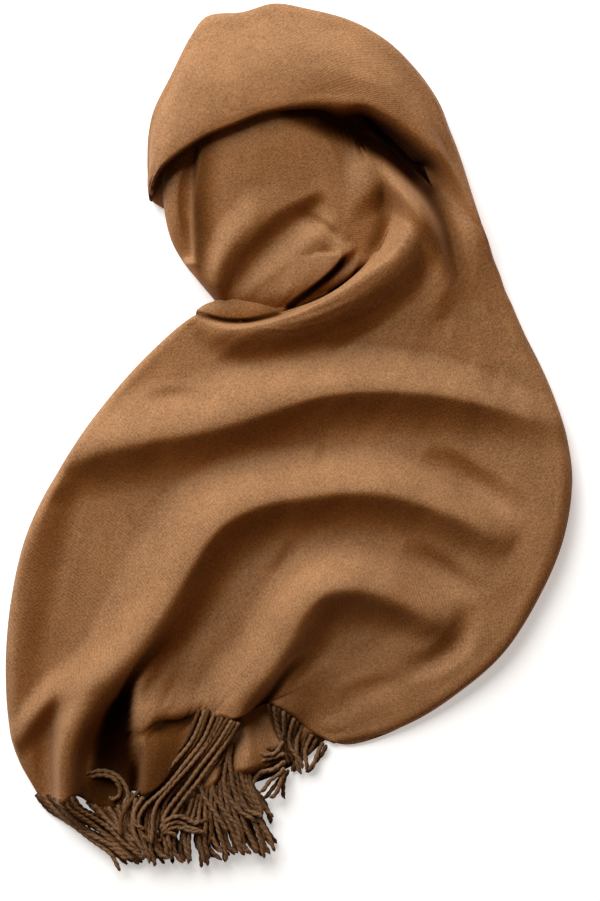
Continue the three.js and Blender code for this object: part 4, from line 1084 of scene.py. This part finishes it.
def curve_through(points, count):
    """Evenly spaced points on the Catmull-Rom curve through a few points."""
    table = np.asarray(points, float)
    t = np.linspace(0, len(table) - 1, CURVE_STEPS)
    fine = np.stack([along(table, c, t) for c in range(table.shape[1])], axis=-1)
    lengths = np.concatenate([[0], np.cumsum(np.linalg.norm(np.diff(fine, axis=0), axis=1))])
    even = np.linspace(0, lengths[-1], count)
    return np.stack([np.interp(even, lengths, fine[:, c]) for c in range(table.shape[1])], axis=-1)


HEM_LINE = fall_point(np.zeros(200), np.linspace(0, 1, 200))


def strand_lines(count, rest, layers, on_hem, guides, seed):
    """Centre lines of a group of strands, from their guides, each a little different. Those on the
    hem start in its cloth, and the rest in their own layer."""
    random = np.random.default_rng(seed)
    curves = np.array([curve_through(np.reshape(guide, (-1, 2)), GUIDE_POINTS) for guide in guides])
    s = np.linspace(0, 1, curves.shape[1])
    lines = []
    for i in range(count):
        t = (i + random.uniform(-STRAY, STRAY)) / (count - 1) * (len(guides) - 1)
        t = min(max(t, 0), len(guides) - 1)
        k = min(int(t), len(guides) - 2)
        plan = curves[k] + (curves[k + 1] - curves[k]) * (t - k)
        layer = rest + LAYER_GAP * (i % layers)
        root_z = layer
        if on_hem:
            nearest = np.argmin(np.hypot(*(HEM_LINE[:, :2] - plan[0]).T))
            root_z = HEM_LINE[nearest, 2] - WALL / 2
        phase = random.uniform(0, 2 * np.pi)
        bend = random.uniform(-1, 1) * BEND * s ** 2
        sway = SWAY * s * np.sin(random.uniform(4, 10) * s + phase)
        hook = random.uniform(-1, 1) * HOOK * smooth((s - HOOK_FROM) / (1 - HOOK_FROM))
        direction = np.gradient(plan, axis=0)
        direction /= np.linalg.norm(direction, axis=1, keepdims=True)
        left = np.stack([-direction[:, 1], direction[:, 0]], axis=-1)
        plan = plan + (bend + sway + hook)[:, None] * left
        z = layer + (root_z - layer) * (1 - smooth(ROOT_FALL * s)) + np.sin(BOBS * s + phase)
        z = np.maximum(z, STRAND_ROOM + FLOOR)
        reach = int(len(plan) * random.uniform(SHORTEST, 1))
        line = np.concatenate([plan, z[:, None]], axis=1)[:reach]
        length = np.linalg.norm(np.diff(line, axis=0), axis=1).sum()
        lines.append(curve_through(line[::3], max(int(length / STEP), 8)))
    return lines


def twisted_strand(line, phase):
    """Two plies twisted round a centre line: their points and faces."""
    tangent = np.gradient(line, axis=0)
    tangent /= np.linalg.norm(tangent, axis=1, keepdims=True)
    side = np.cross(tangent, [0, 0, 1])
    side /= np.linalg.norm(side, axis=1, keepdims=True)
    over = np.cross(side, tangent)
    s = np.arange(len(line)) * STEP
    ends = np.sqrt(np.clip(np.minimum(s + ROUND_END / 2, s[-1] - s) / ROUND_END, 0.02, 1))
    points, faces = [], []
    for ply in (0, 1):
        turn = 2 * np.pi * s / TWIST_PITCH + np.pi * ply + phase
        centre = line + PLY_OFFSET * (np.cos(turn)[:, None] * side + np.sin(turn)[:, None] * over)
        angles = np.arange(PLY_SIDES) * 2 * np.pi / PLY_SIDES
        ring = (np.cos(angles)[None, :, None] * side[:, None]
                + np.sin(angles)[None, :, None] * over[:, None])
        rings = centre[:, None] + ring * (PLY_RADIUS * ends)[:, None, None]
        base = sum(len(p) for p in points)
        points.append(rings.reshape(-1, 3))
        at = base + np.arange(len(line) * PLY_SIDES).reshape(len(line), PLY_SIDES)
        after = np.roll(at, -1, axis=1)
        faces.extend(np.stack([at[:-1], at[1:], after[1:], after[:-1]], axis=-1).reshape(-1, 4).tolist())
        faces.append(at[0].tolist())
        faces.append(at[-1][::-1].tolist())
    return np.concatenate(points), faces


def fringe(name, seed, **group):
    """A group of strands as one piece; the lower a layer of them lies, the darker its painted shade."""
    points, faces, painted_shades = [], [], []
    for i, line in enumerate(strand_lines(seed=seed, **group)):
        strand_points, strand_faces = twisted_strand(line, phase=STRAND_TURN * i)
        base = sum(len(p) for p in points)
        faces.extend([[base + k for k in face] for face in strand_faces])
        points.append(strand_points)
        # Painted shade: the lower layers of strands are painted darker.
        covered = 1 - (i % group["layers"] + 1) / group["layers"]
        painted_shades.append(np.full(len(strand_points), UNDER_SHADE * covered))
    return mesh_object(name, np.concatenate(points), faces, np.concatenate(painted_shades))


dressed(shell(fall_and_crown()), CLOTH, "front_fall", "crown_turn")
dressed(shell(inner_loop()), CLOTH, "inner_loop")
dressed(shell(ply_between("scarf_tuck_ply", TUCK_PLY)), CLOTH, "tuck_ply")
dressed(shell(ply_between("scarf_tip_ply", TIP_PLY)), CLOTH)
dressed(shell(ply_between("scarf_border_ply", BORDER_PLY)), CLOTH)
dressed(shell(lower_ply()), CLOTH)
dressed(hidden_plies("scarf_drape_plies", drape_outline(), np.array([20, -60])), CLOTH, "under_layers")
dressed(hidden_plies("scarf_crown_plies", crown_outline(), np.array([0, 215])), CLOTH)
for seed, (name, group) in enumerate(FRINGE.items(), FIRST_FRINGE_SEED):
    replaced = [name] if name in frame["nodes"] else []
    dressed(fringe("scarf_" + name, seed, **group), YARN, *replaced)

# ---- floor, light and camera

VIEW_CENTRE = (9.4, -7.8, 30.0)      # plan point that the camera looks down on
VIEW_HEIGHT = 739.0                  # of the surface that fills the picture
LENS = 85.0
SENSOR = 36.0
KEY_PLACE = (-0.95, 1.8, 1.4)
KEY_SIZE = 2.1
KEY_ENERGY = 120


def placed(x, y, z):
    return (Vector((x, y, z)) - Vector(CENTRE)) * MM


def pale_floor():
    material = bpy.data.materials.new("pale_floor")
    material.use_nodes = True
    shader = material.node_tree.nodes["Principled BSDF"]
    shader.inputs["Base Color"].default_value = (0.94, 0.94, 0.94, 1)
    shader.inputs["Emission Color"].default_value = (1, 1, 1, 1)
    shader.inputs["Emission Strength"].default_value = 0.42
    shader.inputs["Roughness"].default_value = 0.9
    bpy.ops.mesh.primitive_plane_add(size=6)
    floor = bpy.context.object
    floor.name = "floor"
    floor.data.materials.append(material)


def key_light():
    """A large soft light beyond the crown, which faces the middle of the floor."""
    data = bpy.data.lights.new("key", "AREA")
    data.size = KEY_SIZE
    data.energy = KEY_ENERGY
    light = bpy.data.objects.new("key", data)
    light.location = KEY_PLACE
    light.rotation_euler = (-light.location).to_track_quat("-Z", "Y").to_euler()
    bpy.context.scene.collection.objects.link(light)


def camera():
    data = bpy.data.cameras.new("camera")
    data.lens = LENS
    data.sensor_fit = "VERTICAL"
    data.sensor_height = SENSOR
    eye = bpy.data.objects.new("camera", data)
    eye.location = placed(*VIEW_CENTRE) + Vector((0, 0, VIEW_HEIGHT * MM / SENSOR * LENS))
    bpy.context.scene.collection.objects.link(eye)
    bpy.context.scene.camera = eye


def world():
    scene = bpy.context.scene
    scene.world = bpy.data.worlds.new("studio")
    scene.world.use_nodes = True
    background = scene.world.node_tree.nodes["Background"]
    background.inputs["Color"].default_value = (1, 0.60, 0.25, 1)
    background.inputs["Strength"].default_value = 0.09
    scene.view_settings.view_transform = "Standard"


pale_floor()
key_light()
camera()
world()
